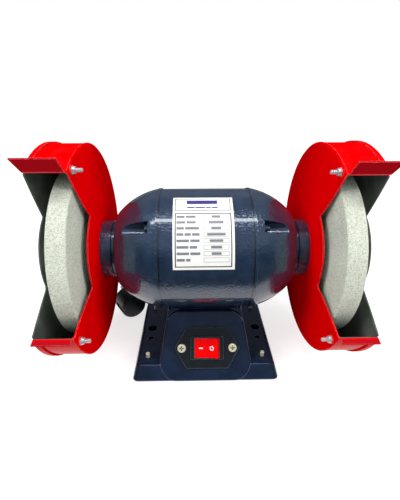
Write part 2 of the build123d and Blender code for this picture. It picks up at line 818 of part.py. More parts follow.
with BuildPart() as rotor_end_rings:
    for end in (-1, 1):
        start = core_length / 2
        with BuildSketch(Plane.XZ):
            with BuildLine():
                Polyline(
                    on_axis(end * start, rotor_shaft_dia / 2 + 13.0),
                    on_axis(end * (start + end_ring_width), rotor_shaft_dia / 2 + 14.0),
                    on_axis(end * (start + end_ring_width), rotor_radius - 2.5),
                    on_axis(end * start, rotor_radius - 1.5),
                    close=True,
                )
            make_face()
        revolve(axis=shaft_axis)
        with BuildSketch(Plane.YZ.offset(min(end * (start + 1), end * (start + 2 * end_ring_width)))):
            with Locations((0, shaft_height)):
                with PolarLocations(rotor_radius - 7.0, fan_blade_count):
                    Rectangle(9.0, 2.2)
        extrude(amount=2 * end_ring_width - 1)
save(rotor_end_rings, "rotor_end_rings")

flange_recess = 1.2
flange_rim = 8.5
blotter_pairs = []
for side, name in sides:
    with BuildPart() as wheel:
        with BuildSketch(Plane.YZ.offset(min(side * wheel_inner_x, side * wheel_outer_x))):
            with Locations((0, shaft_height)):
                Circle(wheel_radius)
        extrude(amount=wheel_width)
        chamfer(wheel.edges().filter_by(GeomType.CIRCLE), 0.8)
        with BuildSketch(Plane.YZ.offset(min(side * wheel_inner_x, side * wheel_outer_x))):
            with Locations((0, shaft_height)):
                Circle(wheel_bore / 2)
        extrude(amount=wheel_width, mode=Mode.SUBTRACT)
    save(wheel, f"wheel_{name}")
    with BuildPart() as wheel_bush:
        add(
            turned(
                [
                    (side * (wheel_inner_x + 0.1), spindle_dia / 2 + close_fit / 2),
                    (side * (wheel_inner_x + 0.1), wheel_bore / 2 - close_fit / 2),
                    (side * (wheel_outer_x - 0.1), wheel_bore / 2 - close_fit / 2),
                    (side * (wheel_outer_x - 0.1), spindle_dia / 2 + close_fit / 2),
                ]
            )
        )
    save(wheel_bush, f"wheel_bush_{name}")
    for where, inner_x, hub_x, flange_name in (
        (1, wheel_inner_x - blotter_thick, flange_inner_x, "inner_flange"),
        (-1, flange_outer_x, nut_x, "outer_flange"),
    ):
        with BuildPart() as flange:
            add(
                turned(
                    [
                        (side * inner_x, flange_dia / 2),
                        (side * inner_x, flange_dia / 2 - flange_rim),
                        (side * (inner_x - where * flange_recess), flange_dia / 2 - flange_rim - 0.5),
                        (side * (inner_x - where * flange_recess), spindle_dia / 2 + close_fit / 2),
                        (side * hub_x, spindle_dia / 2 + close_fit / 2),
                        (side * hub_x, flange_dia / 2 - flange_rim - 4.0),
                        (side * (inner_x - where * 3.2), flange_dia / 2 - 1.5),
                        (side * (inner_x - where * 2.2), flange_dia / 2),
                    ]
                )
            )
        save(flange, f"{flange_name}_{name}")
    for near, far in (
        (wheel_inner_x - blotter_thick, wheel_inner_x),
        (wheel_outer_x, wheel_outer_x + blotter_thick),
    ):
        bore = wheel_bore / 2 + clearance
        blotter_pairs.append(
            turned(
                [
                    (side * near, bore),
                    (side * near, blotter_dia / 2),
                    (side * far, blotter_dia / 2),
                    (side * far, bore),
                ]
            )
        )
    with BuildPart() as shaft_nut:
        with Locations(along_shaft(side * nut_x, 0, shaft_height, side)):
            add(hex_nut(spindle_dia, nut_flats, nut_thick))
    save(shaft_nut, f"shaft_nut_{name}")

with BuildPart() as wheel_blotters:
    for blotter in blotter_pairs:
        add(blotter)
save(wheel_blotters, "wheel_blotters")

# ---------------------------------------------------------------- motor fasteners
bolt_seat = seat_x
nut_dia = 8.0
bolt_nut_thick = 4.0
through_bolt = hex_screw(bolt_dia, nut_dia, 3.5, 2 * bolt_seat + bolt_nut_thick + 3.0)
through_bolts = group(through_bolt, [along_shaft(-bolt_seat, y, z, -1) for y, z in bolt_places])
save(through_bolts, "through_bolts")
through_bolt_nuts = group(
    hex_nut(bolt_dia, nut_dia, bolt_nut_thick), [along_shaft(bolt_seat, y, z, 1) for y, z in bolt_places]
)
save(through_bolt_nuts, "through_bolt_nuts")

# ---------------------------------------------------------------- guards
cover_flange_outer = band_radius + cover_flange_gap + sheet
cover_x = cover_rim_x + cover_dish
band_end_x = cover_rim_x - sheet - close_fit
cover_pad_radius = 5.4
plate_pad_radius = 4.9
lip_start_x = rim_x + 2.6
opening_corner = 5.0
notch_turn = 2.8  # degrees that the cover's flange stands back from each lip
cover_sphere = (cover_flange_outer**2 + cover_dish**2) / (2 * cover_dish)
inner_span = degrees(asin((cover_flange_outer - sheet) / (cover_sphere - sheet)))
cover_span = degrees(asin(cover_flange_outer / cover_sphere))
dish_slope = cover_dish / cover_flange_outer**2
cover_pad_x = cover_x - dish_slope * (cover_screw_radius - cover_pad_radius) ** 2 + close_fit
cover_screw_x = cover_x - dish_slope * cover_screw_radius**2 - sheet / 2
plate_slope = (plate_rim_offset - plate_hub_offset) / (band_radius - plate_hub_radius)
plate_pad_x = rim_x - plate_slope * (band_radius - cover_screw_radius + plate_pad_radius) - close_fit
plate_screw_x = rim_x - plate_slope * (band_radius - cover_screw_radius) + sheet / 2
screw_angles = (opening_top + upper_screw_past, opening_low - lower_screw_past, 200.0)


def sector(side, low, high, inner_radius, near, far, corner=0.0):
    """Everything outside a radius between two angles, over a stretch of the shaft."""
    turn = guard_turn[side]
    with BuildPart() as wedge:
        with BuildSketch(Plane.YZ.offset(min(side * near, side * far))) as outline:
            with BuildLine():
                ThreePointArc(
                    around(inner_radius, low + turn),
                    around(inner_radius, (low + high) / 2 + turn),
                    around(inner_radius, high + turn),
                )
                Polyline(
                    around(inner_radius, high + turn),
                    around(1.3 * wheel_dia, high + turn),
                    around(1.8 * wheel_dia, (low + high) / 2 + turn),
                    around(1.3 * wheel_dia, low + turn),
                    around(inner_radius, low + turn),
                )
            make_face()
            if corner:
                fillet(outline.vertices().sort_by(lambda v: hypot(v.Y, v.Z - shaft_height))[0:2], corner)
        extrude(amount=far - near)
    return wedge.part


def rods(side, places, radius, near, far):
    """Round bars along the shaft: pads when added, holes when taken away."""
    with BuildPart() as bars:
        with BuildSketch(Plane.YZ.offset(min(side * near, side * far))):
            with Locations(*places):
                Circle(radius)
        extrude(amount=far - near)
    return bars.part


def screw_places(side):
    return [around(cover_screw_radius, angle + guard_turn[side]) for angle in screw_angles]


def lip_turn(tilt):
    """Degrees that a lip's sheet turns, from the band's direction to its own."""
    return 90.0 - tilt


def bend_angle(tilt):
    """Degrees round the shaft that a lip's bend takes from the band."""
    return degrees(lip_bend * tan(radians(lip_turn(tilt) / 2)) / (band_radius - sheet / 2))


def lip(side, edge, way, tilt, length, near, far, spread):
    """A sheet lip turned outwards at the band's edge: way is 1 at the top edge, -1 at the low one."""
    middle = band_radius - sheet / 2
    edge = edge + guard_turn[side]
    start_angle = radians(edge + way * bend_angle(tilt))
    along = (-way * sin(start_angle), -way * cos(start_angle))
    outward = Vector(0, -cos(radians(edge - way * tilt)), sin(radians(edge - way * tilt)))
    root = Vector(0, *around(middle, edge))
    with BuildPart() as strip:
        with BuildSketch(Plane.YZ.offset(side * near if side > 0 else side * (far + spread))):
            with BuildLine():
                bend = JernArc(around(middle, degrees(start_angle)), along, lip_bend, -way * lip_turn(tilt))
                Line(bend @ 1, (bend @ 1) + (bend % 1) * (length - lip_bend))
            trace(line_width=sheet)
        extrude(amount=far + spread - near)
        across = Plane(origin=root, x_dir=(1, 0, 0), z_dir=Vector(1, 0, 0).cross(outward))
        with BuildSketch(across):
            Polygon(
                (side * near, -2 * length),
                (side * band_end_x, -2 * length),
                (side * band_end_x, 0),
                (side * far, lip_bend),
                (side * (far + spread), length + sheet),
                (side * (near + spread / 3), length + sheet),
                (side * near, 0),
                align=None,
            )
        extrude(amount=2 * length, both=True, mode=Mode.INTERSECT)
    return strip.part


for side, name in sides:
    with BuildPart() as guard:
        with BuildSketch(Plane.XZ):
            with BuildLine():
                plate_arc = ThreePointArc(
                    on_axis(side * neck_end, neck_radius),
                    on_axis(side * (neck_end + plate_hub_offset), plate_hub_radius),
                    on_axis(side * rim_x, band_radius - lip_bend),
                )
                Line(on_axis(side * neck_end, spigot_radius + clearance), plate_arc @ 0)
                Line(plate_arc @ 1, on_axis(side * (rim_x + 0.6), band_radius - 0.4))
                Polyline(
                    on_axis(side * (rim_x + 0.6), band_radius - 0.4),
                    on_axis(side * (rim_x + 1.4), band_radius + rim_bead),
                    on_axis(side * (rim_x + 2.6), band_radius),
                    on_axis(side * band_end_x, band_radius),
                    on_axis(side * band_end_x, band_radius - sheet),
                    on_axis(side * (rim_x + sheet + 0.8), band_radius - sheet),
                    on_axis(side * (rim_x + sheet), band_radius - lip_bend),
                )
                inner_arc = ThreePointArc(
                    on_axis(side * (rim_x + sheet), band_radius - lip_bend),
                    on_axis(side * (neck_end + plate_hub_offset + sheet), plate_hub_radius),
                    on_axis(side * (neck_end + sheet), neck_radius),
                )
                Line(inner_arc @ 1, on_axis(side * (neck_end + sheet), spigot_radius + clearance))
                Line(
                    on_axis(side * (neck_end + sheet), spigot_radius + clearance),
                    on_axis(side * neck_end, spigot_radius + clearance),
                )
            make_face()
        revolve(axis=shaft_axis)
        add(rods(side, screw_places(side), plate_pad_radius, plate_pad_x, plate_screw_x))
        mouth = sector(
            side, opening_low, opening_top, plate_hub_radius, neck_end - 1, cover_rim_x + 1, opening_corner
        )
        bend_relief = sector(
            side,
            opening_low - bend_angle(0.0),
            opening_top + bend_angle(upper_lip_tilt),
            band_radius - lip_bend,
            lip_start_x,
            cover_rim_x + 1,
        )
        add([mouth, bend_relief], mode=Mode.SUBTRACT)
        add(lip(side, opening_top, 1, upper_lip_tilt, upper_lip_length, lip_start_x, cover_rim_x, 4.5))
        add(lip(side, opening_low, -1, 0.0, lower_lip_length, lip_start_x, band_end_x, 0.4))
        screw_hole_radius = cover_screw_dia / 2 + close_fit
        screw_holes = rods(side, screw_places(side), screw_hole_radius, plate_pad_x - 1, rim_x + 3 * sheet)
        mount_hole_radius = bolt_dia / 2 + close_fit
        mount_holes = rods(side, mount_places(side), mount_hole_radius, neck_end - 1, neck_end + 2 * sheet)
        add([screw_holes, mount_holes], mode=Mode.SUBTRACT)
    save(guard, f"guard_{name}")

    with BuildPart() as guard_cover:
        with BuildSketch(Plane.XZ):
            with BuildLine():
                middle = on_axis(side * (cover_x - cover_sphere), 0)
                start = 0 if side > 0 else 180
                outer_arc = CenterArc(middle, cover_sphere, start, side * cover_span)
                inner_arc = CenterArc(middle, cover_sphere - sheet, start, side * inner_span)
                Polyline(
                    outer_arc @ 1,
                    on_axis(side * (cover_rim_x - cover_flange_width), cover_flange_outer),
                    on_axis(side * (cover_rim_x - cover_flange_width), cover_flange_outer - sheet),
                    inner_arc @ 1,
                )
                Line(inner_arc @ 0, outer_arc @ 0)
            make_face()
        revolve(axis=shaft_axis)
        add(rods(side, screw_places(side), cover_pad_radius, cover_screw_x, cover_pad_x))
        mouth = sector(
            side, opening_low, opening_top, plate_hub_radius, neck_end, cover_x + 1, opening_corner
        )
        flange_notch = sector(
            side,
            opening_low - notch_turn,
            opening_top + notch_turn,
            band_radius - lip_bend,
            cover_rim_x - 2 * cover_flange_width,
            cover_x + 1,
        )
        screw_holes = rods(side, screw_places(side), screw_hole_radius, cover_rim_x - 5, cover_x)
        add([mouth, flange_notch, screw_holes], mode=Mode.SUBTRACT)
    save(guard_cover, f"guard_cover_{name}")

cover_screw = cross_head_screw(cover_screw_dia, cover_screw_head_dia, cover_screw_head, cover_screw_length)
cover_screws = group(
    cover_screw,
    [along_shaft(side * cover_pad_x, y, z, side) for side, _ in sides for y, z in screw_places(side)],
)
save(cover_screws, "cover_screws")
cover_nuts = group(
    hex_nut(cover_screw_dia, cover_nut_flats, cover_nut_thick),
    [along_shaft(side * plate_pad_x, y, z, -side) for side, _ in sides for y, z in screw_places(side)],
)
save(cover_nuts, "cover_nuts")
mount_screw = cross_head_screw(bolt_dia, 9.0, 3.0, 11.0)
guard_mount_screws = group(
    mount_screw,
    [along_shaft(side * (neck_end + sheet), y, z, side) for side, _ in sides for y, z in mount_places(side)],
)
save(guard_mount_screws, "guard_mount_screws")

# ---------------------------------------------------------------- switch
pivot = face_plane.from_local_coords((0, 0, switch_plate_thick + bezel_thick - rocker_pivot_depth))
along_face = face_plane.x_dir
up_face = face_plane.y_dir
out_of_face = face_plane.z_dir
rocker_x = along_face * cos(radians(rocker_tilt)) + out_of_face * sin(radians(rocker_tilt))
rocker_plane = Plane(origin=pivot, x_dir=rocker_x, z_dir=up_face * -1)
rocker_end_radius = rocker_width / 2
trunnion_radius = 1.5
housing_wall = 1.3
window_width = rocker_width + 2 * rocker_gap
window_height = rocker_height + 2 * rocker_gap
trunnion_reach = switch_body_height / 2 - 0.4
rocker_crest = 4.95
rocker_valley = 1.9
rocker_skirt = 3.7
rocker_nib = 8.0
housing_floor = 3.0

with BuildPart() as switch_plate:
    with BuildSketch(face_plane):
        Polygon(
            (-switch_plate_width / 2, 0),
            (-switch_plate_flat / 2, -switch_plate_height / 2),
            (switch_plate_flat / 2, -switch_plate_height / 2),
            (switch_plate_width / 2, 0),
            (switch_plate_flat / 2, switch_plate_height / 2),
            (-switch_plate_flat / 2, switch_plate_height / 2),
        )
    extrude(amount=switch_plate_thick)
    fillet(switch_plate.edges().filter_by(lambda e: abs(e.tangent_at(0).dot(out_of_face)) > 0.99), 3.0)
    chamfer(switch_plate.faces().sort_by(lambda f: f.center().dot(out_of_face))[-1].edges(), 0.6)
    with BuildSketch(face_plane):
        Rectangle(switch_body_width + 2 * close_fit, switch_body_height + 2 * close_fit)
        with GridLocations(switch_screw_spacing, 1, 2, 1):
            Circle(switch_screw_dia / 2 + close_fit)
    extrude(amount=switch_plate_thick, mode=Mode.SUBTRACT)
save(switch_plate, "switch_plate")

switch_screw_length = switch_plate_thick + base_wall + switch_screw_past
switch_screw = cross_head_screw(
    switch_screw_dia, switch_screw_head_dia, switch_screw_head, switch_screw_length
)
switch_plate_screws = group(
    switch_screw,
    [
        Plane(
            origin=face_plane.from_local_coords((sx * switch_screw_spacing / 2, 0, switch_plate_thick)),
            x_dir=along_face,
            z_dir=out_of_face,
        ).location
        for sx in (-1, 1)
    ],
)
save(switch_plate_screws, "switch_plate_screws")

with BuildPart() as switch_housing:
    with BuildSketch(face_plane.offset(switch_plate_thick)):
        RectangleRounded(bezel_width, bezel_height, 1.5)
    extrude(amount=bezel_thick)
    chamfer(switch_housing.faces().sort_by(lambda f: f.center().dot(out_of_face))[-1].edges(), 0.5)
    with BuildSketch(face_plane.offset(switch_plate_thick)):
        Rectangle(switch_body_width, switch_body_height)
    extrude(amount=-switch_body_depth)
    with BuildSketch(face_plane.offset(switch_plate_thick + bezel_thick)):
        Rectangle(window_width, window_height)
    extrude(amount=-(switch_body_depth + bezel_thick - housing_floor), mode=Mode.SUBTRACT)
    with BuildSketch(Plane(origin=pivot, x_dir=along_face, z_dir=up_face)):
        Circle(trunnion_radius + close_fit)
    extrude(amount=trunnion_reach + close_fit, both=True, mode=Mode.SUBTRACT)
save(switch_housing, "switch_housing")

blade_spacing = 16.0
blade_length = 8.0
blade_tip = switch_plate_thick - switch_body_depth - blade_length
blade_places = [
    face_plane.from_local_coords((sx * blade_spacing / 2, 0, blade_tip - 3 * clearance))
    for sx in (-1, 1)
]
with BuildPart() as switch_terminals:
    with BuildSketch(face_plane.offset(switch_plate_thick - switch_body_depth)):
        with GridLocations(blade_spacing, 1, 2, 1):
            Rectangle(0.8, 4.8)
    extrude(amount=-blade_length)
save(switch_terminals, "switch_terminals")

with BuildPart() as rocker_button:
    with BuildSketch(rocker_plane):
        crest_x = sqrt(rocker_end_radius**2 - rocker_crest**2)
        skirt_x = sqrt(rocker_end_radius**2 - rocker_skirt**2)
        with BuildLine():
            Polyline((-crest_x, rocker_crest), (0, rocker_valley), (crest_x, rocker_crest))
            ThreePointArc((crest_x, rocker_crest), (rocker_end_radius, 0), (skirt_x, -rocker_skirt))
            Polyline(
                (skirt_x, -rocker_skirt),
                (2.5, -rocker_skirt),
                (1.5, -rocker_nib),
                (-1.5, -rocker_nib),
                (-2.5, -rocker_skirt),
                (-skirt_x, -rocker_skirt),
            )
            ThreePointArc((-skirt_x, -rocker_skirt), (-rocker_end_radius, 0), (-crest_x, rocker_crest))
        make_face()
    extrude(amount=rocker_height / 2, both=True)
    with BuildSketch(rocker_plane):
        Circle(trunnion_radius)
    extrude(amount=trunnion_reach, both=True)
save(rocker_button, "rocker_button")

# ---------------------------------------------------------------- label on the barrel
label_radius = shell_radius + close_fit
label_half_angle = degrees(label_height / label_radius) / 2
with BuildPart() as rating_label:
    with BuildSketch(Plane.YZ.offset(label_x - label_width / 2)):
        low = label_middle - label_half_angle
        high = label_middle + label_half_angle
        with BuildLine():
            for radius in (label_radius, label_radius + label_thick):
                ThreePointArc(around(radius, low), around(radius, label_middle), around(radius, high))
            for angle in (low, high):
                Line(around(label_radius, angle), around(label_radius + label_thick, angle))
        make_face()
    extrude(amount=label_width)
save(rating_label, "rating_label")

# ---------------------------------------------------------------- inside the base
floor_height = foot_height + bottom_plate_thick
capacitor_radius = 17.5
capacitor_length = 50.0
capacitor_y = 22.0
clip_thick = 1.2
clip_width = 12.0
clip_foot = 27.0
capacitor_end_gap = 2.8
capacitor_height = floor_height + clip_thick + close_fit + capacitor_radius
half_inside = tower_width(capacitor_height + capacitor_radius) / 2 - base_wall
capacitor_x = capacitor_end_gap - half_inside
with BuildPart() as capacitor:
    with BuildSketch(Plane.YZ.offset(capacitor_x)):
        with Locations((capacitor_y, capacitor_height)):
            Circle(capacitor_radius)
    extrude(amount=capacitor_length)
    fillet(capacitor.edges().filter_by(GeomType.CIRCLE), 1.5)
save(capacitor, "capacitor")

with BuildPart() as capacitor_clip:
    with BuildSketch(Plane.YZ.offset(capacitor_x + (capacitor_length - clip_width) / 2)):
        with Locations((capacitor_y, capacitor_height)):
            Circle(capacitor_radius + close_fit + clip_thick)
        with Locations((capacitor_y, floor_height + clip_thick / 2)):
            Rectangle(2 * clip_foot, clip_thick)
        with Locations((capacitor_y, capacitor_height)):
            Circle(capacitor_radius + close_fit, mode=Mode.SUBTRACT)
    extrude(amount=clip_width)
save(capacitor_clip, "capacitor_clip")

block_end_gap = 1.8
block_length = 28.0
block_x = half_inside - block_end_gap - block_length / 2
block_y = 18.0
block_depth = 18.0
block_height = 12.0
block_pitch = 6.0
block_row = 5.0
block_top = floor_height + block_height
with BuildPart() as terminal_block:
    with BuildSketch(Plane.XY.offset(floor_height)):
        with Locations((block_x, block_y)):
            Rectangle(block_length, block_depth)
    extrude(amount=block_height)
    with BuildSketch(Plane.XY.offset(block_top)):
        with Locations((block_x, block_y)):
            with GridLocations(block_pitch, 1, 3, 1):
                Rectangle(1.0, block_depth)
    extrude(amount=-3.0, mode=Mode.SUBTRACT)
save(terminal_block, "terminal_block")

wire_radius = 1.1
relief_inner_y = gland_y - 14.0
block_columns = [block_x + (n - 1.5) * block_pitch for n in range(4)]
front_row = block_y - block_row
rear_row = block_y + block_row
over_block = block_top + 12.0
winding_foot = shaft_height - coil_high
wire_routes = [
    [
        (cord_exit_x + sx * 2.0, relief_inner_y, cord_exit_height),
        (cord_exit_x + sx * 2.0, rear_row + 12.0, cord_exit_height),
        (block_columns[column], rear_row, over_block),
        (block_columns[column], rear_row, block_top),
    ]
    for sx, column in ((1, 3), (-1, 2))
]
wire_routes += [
    [
        (block_columns[column], front_row, block_top),
        (block_columns[column], front_row, over_block),
        ((place.X + block_columns[column]) / 2 + 4.0, front_row - 21.0, over_block - 3.0),
        (place.X, place.Y, place.Z),
    ]
    for place, column in zip(blade_places, (0, 1))
]
wire_routes += [
    [
        (block_columns[column], front_row, block_top),
        (block_columns[column], front_row, over_block + 8),
        (lead_hole_x + sx * 1.5, 0.0, over_block + 20),
        (lead_hole_x + sx * 1.5, 0.0, winding_foot),
    ]
    for sx, column in ((-1, 2), (1, 3))
]
wiring = [tube(route, bend_radii(route), wire_radius) for route in wire_routes]
with BuildPart() as wiring_leads:
    for wire in wiring:
        add(wire)
save(wiring_leads, "wiring_leads")

earth_screw = group(
    cross_head_screw(earth_screw_dia, 8.0, 2.6, 5.5),
    [Plane(origin=(*earth_place, tower_top_height - base_wall), z_dir=(0, 0, -1)).location],
)
save(earth_screw, "earth_screw")

# ---------------------------------------------------------------- mains cord
relief_end_y = gland_y + relief_length
relief_rib_pitch = 4.0
with BuildPart() as strain_relief:
    with BuildSketch(Plane.YZ.offset(cord_exit_x)):
        with BuildLine():
            Polyline(
                (relief_inner_y, cord_exit_height),
                (relief_inner_y, cord_exit_height + relief_hole_radius - clearance),
                (gland_y, cord_exit_height + relief_hole_radius - clearance),
                (gland_y, cord_exit_height + gland_boss_radius - 1.5),
                (gland_y + 3.0, cord_exit_height + gland_boss_radius - 1.5),
                (gland_y + 3.0, cord_exit_height + relief_hole_radius),
                (relief_end_y, cord_exit_height + cord_dia / 2 + 0.8),
                (relief_end_y, cord_exit_height),
                close=True,
            )
        make_face()
    revolve(axis=Axis((cord_exit_x, 0, cord_exit_height), (0, 1, 0)))
    for n in range(4):
        with BuildSketch(Plane.XZ.offset(-(gland_y + 6.5 + n * relief_rib_pitch))):
            with Locations((cord_exit_x, cord_exit_height)):
                Circle(gland_boss_radius)
                Circle(cord_dia / 2 + 0.7, mode=Mode.SUBTRACT)
        extrude(amount=-1.4, mode=Mode.SUBTRACT)
save(strain_relief, "strain_relief")

coil_outer_radius = coil_inner_radius + (coil_turns_across - 1) * coil_pitch
coil_x = cord_exit_x - coil_outer_radius
lead_route = [
    (40.0, 88.0, 28.0),
    (40.0, 102.0, 28.0),
    (40.3, 118.0, 24.0),
    (40.0, 134.0, 16.5),
    (40.1, 150.5, 11.4),
]
tail_route = [
    (-79.4, 87.8, 19.5),
    (-66.8, 96.0, 19.5),
    (-57.6, 107.8, 16.7),
    (-52.7, 122.0, 11.2),
    (-52.6, 139.0, 5.4),
    (-53.0, 155.5, 3.8),
]
for route, node in ((lead_route, "cord_lead"), (tail_route, "cord_tail")):
    radii = bend_radii(route)
    print(node, "bend radii", [round(r, 1) for r in radii])
    with BuildPart() as cord_piece:
        add(tube(route, radii, cord_dia / 2))
    save(cord_piece, node)

with BuildPart() as cord_coil:
    with BuildSketch(Plane.XY):
        with Locations((coil_x, coil_y)):
            Circle(coil_outer_radius + coil_pitch / 2)
            Circle(coil_inner_radius - coil_pitch / 2, mode=Mode.SUBTRACT)
    extrude(amount=coil_layers * coil_pitch)
save(cord_coil, "cord_coil")

# ---------------------------------------------------------------- plug
plug_heading = radians(plug_turn)
plug_plane = Plane(
    origin=(*plug_centre, plug_radius),
    x_dir=(cos(plug_heading), sin(plug_heading), 0),
    z_dir=(-sin(plug_heading), cos(plug_heading), 0),
)
neck_plane = Plane(
    origin=(*plug_centre, plug_radius),
    x_dir=(0, 0, 1),
    z_dir=(cos(plug_heading), sin(plug_heading), 0),
)
with BuildPart() as plug_body:
    with BuildSketch(plug_plane.offset(-plug_length / 2)):
        Circle(plug_radius)
    extrude(amount=plug_length)
    ends = plug_body.edges().filter_by(GeomType.CIRCLE).sort_by(Axis.Y)
    fillet(ends[0], 4.5)
    fillet(plug_body.edges().filter_by(GeomType.CIRCLE).sort_by(Axis.Y)[-1], 1.0)
    with BuildSketch(neck_plane):
        Circle(plug_neck_radius + 3.0)
    with BuildSketch(neck_plane.offset(plug_neck_reach)):
        Circle(plug_tip_radius)
    loft()
    with BuildSketch(plug_plane.offset(-plug_length)):
        with Locations((-plug_radius - 1.0, 0)):
            Circle(4.2)
    extrude(amount=plug_length * 1.25, mode=Mode.SUBTRACT)
save(plug_body, "plug_body")

with BuildPart() as plug_pins:
    with BuildSketch(plug_plane.offset(plug_length / 2)):
        with GridLocations(1, plug_pin_spacing, 1, 2):
            Circle(plug_pin_dia / 2)
    extrude(amount=plug_pin_length)
    fillet(plug_pins.edges().filter_by(GeomType.CIRCLE).group_by(lambda e: round(e.center().Y, 1))[-1], 1.8)
save(plug_pins, "plug_pins")
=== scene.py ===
"""Looks of a bench grinder: paint, stone, steel, plastics, sticker print, switch marks and the tied cord."""

import json
from math import atan2, cos, pi, radians, sin

import bmesh
import bpy
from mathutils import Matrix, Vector


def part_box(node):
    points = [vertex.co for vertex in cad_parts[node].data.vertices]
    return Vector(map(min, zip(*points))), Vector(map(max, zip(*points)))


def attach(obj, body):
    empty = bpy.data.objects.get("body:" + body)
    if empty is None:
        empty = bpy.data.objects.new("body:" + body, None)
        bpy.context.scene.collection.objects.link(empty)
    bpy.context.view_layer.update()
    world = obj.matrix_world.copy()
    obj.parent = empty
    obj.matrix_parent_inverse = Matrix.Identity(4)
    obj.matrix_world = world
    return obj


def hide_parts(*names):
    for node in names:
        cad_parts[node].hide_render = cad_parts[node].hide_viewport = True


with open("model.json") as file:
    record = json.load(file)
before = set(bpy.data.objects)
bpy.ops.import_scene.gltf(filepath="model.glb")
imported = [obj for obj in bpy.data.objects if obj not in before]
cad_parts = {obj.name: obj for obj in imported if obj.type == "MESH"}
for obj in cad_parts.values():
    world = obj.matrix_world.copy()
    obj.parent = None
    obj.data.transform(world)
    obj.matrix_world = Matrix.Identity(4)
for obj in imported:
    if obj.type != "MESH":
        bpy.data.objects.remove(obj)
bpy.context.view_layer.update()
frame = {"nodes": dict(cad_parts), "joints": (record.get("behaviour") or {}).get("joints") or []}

MM = 0.001

# places on the object that the finishes and the added pieces are set by
shaft_low, shaft_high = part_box("shaft")
shaft_height = (shaft_low.z + shaft_high.z) / 2
base_low, base_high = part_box("base_casting")
label_low, label_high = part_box("rating_label")
seam_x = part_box("motor_shell")[1].x
NECK_X = 0.0965
GUARD_MIDDLE_X = 0.151
BAND_RADIUS = 0.1237


# ------------------------------------------------------------------ colours and node helpers
def paint(red, green, blue):
    """A colour written as 0 to 255 on a screen, as the linear colour that a shader takes."""
    channels = []
    for value in (red, green, blue):
        value /= 255
        channels.append(value / 12.92 if value <= 0.04045 else ((value + 0.055) / 1.055) ** 2.4)
    return (*channels, 1.0)


class Wiring:
    """Short calls for adding and joining nodes in one node tree."""

    def __init__(self, tree):
        self.tree = tree

    def add(self, kind, values=None, **settings):
        node = self.tree.nodes.new(kind)
        for name, value in settings.items():
            setattr(node, name, value)
        for name, value in (values or {}).items():
            node.inputs[name].default_value = value
        return node

    def join(self, source, target):
        self.tree.links.new(source, target)

    def math(self, operation, first, second=None):
        """A math node on one value or two, each of them a number or a socket."""
        node = self.add("ShaderNodeMath", operation=operation)
        for socket, value in zip(node.inputs, (first, second)):
            if value is None:
                continue
            if isinstance(value, (int, float)):
                socket.default_value = value
            else:
                self.join(value, socket)
        return node.outputs["Value"]

    def noise(self, vector, size, detail=2.0, roughness=0.5):
        """Noise whose features are about `size` metres across."""
        values = {"Scale": 1.0 / size, "Detail": detail, "Roughness": roughness}
        node = self.add("ShaderNodeTexNoise", values)
        self.join(vector, node.inputs["Vector"])
        return node.outputs["Fac"]

    def ramp(self, value, start, end, low=0.0, high=1.0):
        """A smooth step from low, where value is start, to high, where it is end."""
        limits = {"From Min": start, "From Max": end, "To Min": low, "To Max": high}
        node = self.add("ShaderNodeMapRange", limits)
        node.interpolation_type = "SMOOTHSTEP"
        self.join(value, node.inputs["Value"])
        return node.outputs["Result"]

    def mix(self, mask, first, second):
        """The colour first where mask is 0, second where it is 1."""
        node = self.add("ShaderNodeMix", data_type="RGBA")
        tones = [socket for socket in node.inputs if socket.type == "RGBA"]
        for socket, value in zip((node.inputs["Factor"], *tones), (mask, first, second)):
            if isinstance(value, (tuple, float)):
                socket.default_value = value
            else:
                self.join(value, socket)
        return [socket for socket in node.outputs if socket.type == "RGBA"][0]


def effect_group(name, inputs, outputs):
    """An empty node group with float inputs (name, default) and outputs (name, socket type)."""
    tree = bpy.data.node_groups.new(name, "ShaderNodeTree")
    for label, default in inputs:
        socket = tree.interface.new_socket(name=label, in_out="INPUT", socket_type="NodeSocketFloat")
        socket.default_value = default
    for label, kind in outputs:
        tree.interface.new_socket(name=label, in_out="OUTPUT", socket_type=kind)
    wiring = Wiring(tree)
    return wiring, wiring.add("NodeGroupInput"), wiring.add("NodeGroupOutput")


def place(wiring, vector, size_socket):
    """A position scaled so that one unit is `size_socket` metres."""
    node = wiring.add("ShaderNodeVectorMath", operation="DIVIDE")
    wiring.join(vector, node.inputs[0])
    combine = wiring.add("ShaderNodeCombineXYZ")
    for axis in "XYZ":
        wiring.join(size_socket, combine.inputs[axis])
    wiring.join(combine.outputs["Vector"], node.inputs[1])
    return node.outputs["Vector"]


# ------------------------------------------------------------------ shared effects
def build_enamel_skin():
    """Sprayed enamel: fine orange peel on broad ripples, with a faint change of tone."""
    wiring, given, result = effect_group(
        "enamel skin",
        [("Peel Size", 0.0016), ("Ripple Size", 0.02), ("Ripple", 0.5)],
        [("Height", "NodeSocketFloat"), ("Tone", "NodeSocketFloat")],
    )
    where = wiring.add("ShaderNodeTexCoord").outputs["Object"]
    peel = wiring.add("ShaderNodeTexNoise", {"Scale": 1.0, "Detail": 1.0})
    wiring.join(place(wiring, where, given.outputs["Peel Size"]), peel.inputs["Vector"])
    ripple = wiring.add("ShaderNodeTexNoise", {"Scale": 1.0, "Detail": 1.5})
    wiring.join(place(wiring, where, given.outputs["Ripple Size"]), ripple.inputs["Vector"])
    broad = wiring.math("MULTIPLY", ripple.outputs["Fac"], given.outputs["Ripple"])
    height = wiring.math("ADD", peel.outputs["Fac"], broad)
    wiring.join(height, result.inputs["Height"])
    wiring.join(wiring.ramp(ripple.outputs["Fac"], 0.3, 0.7), result.inputs["Tone"])
    return wiring.tree


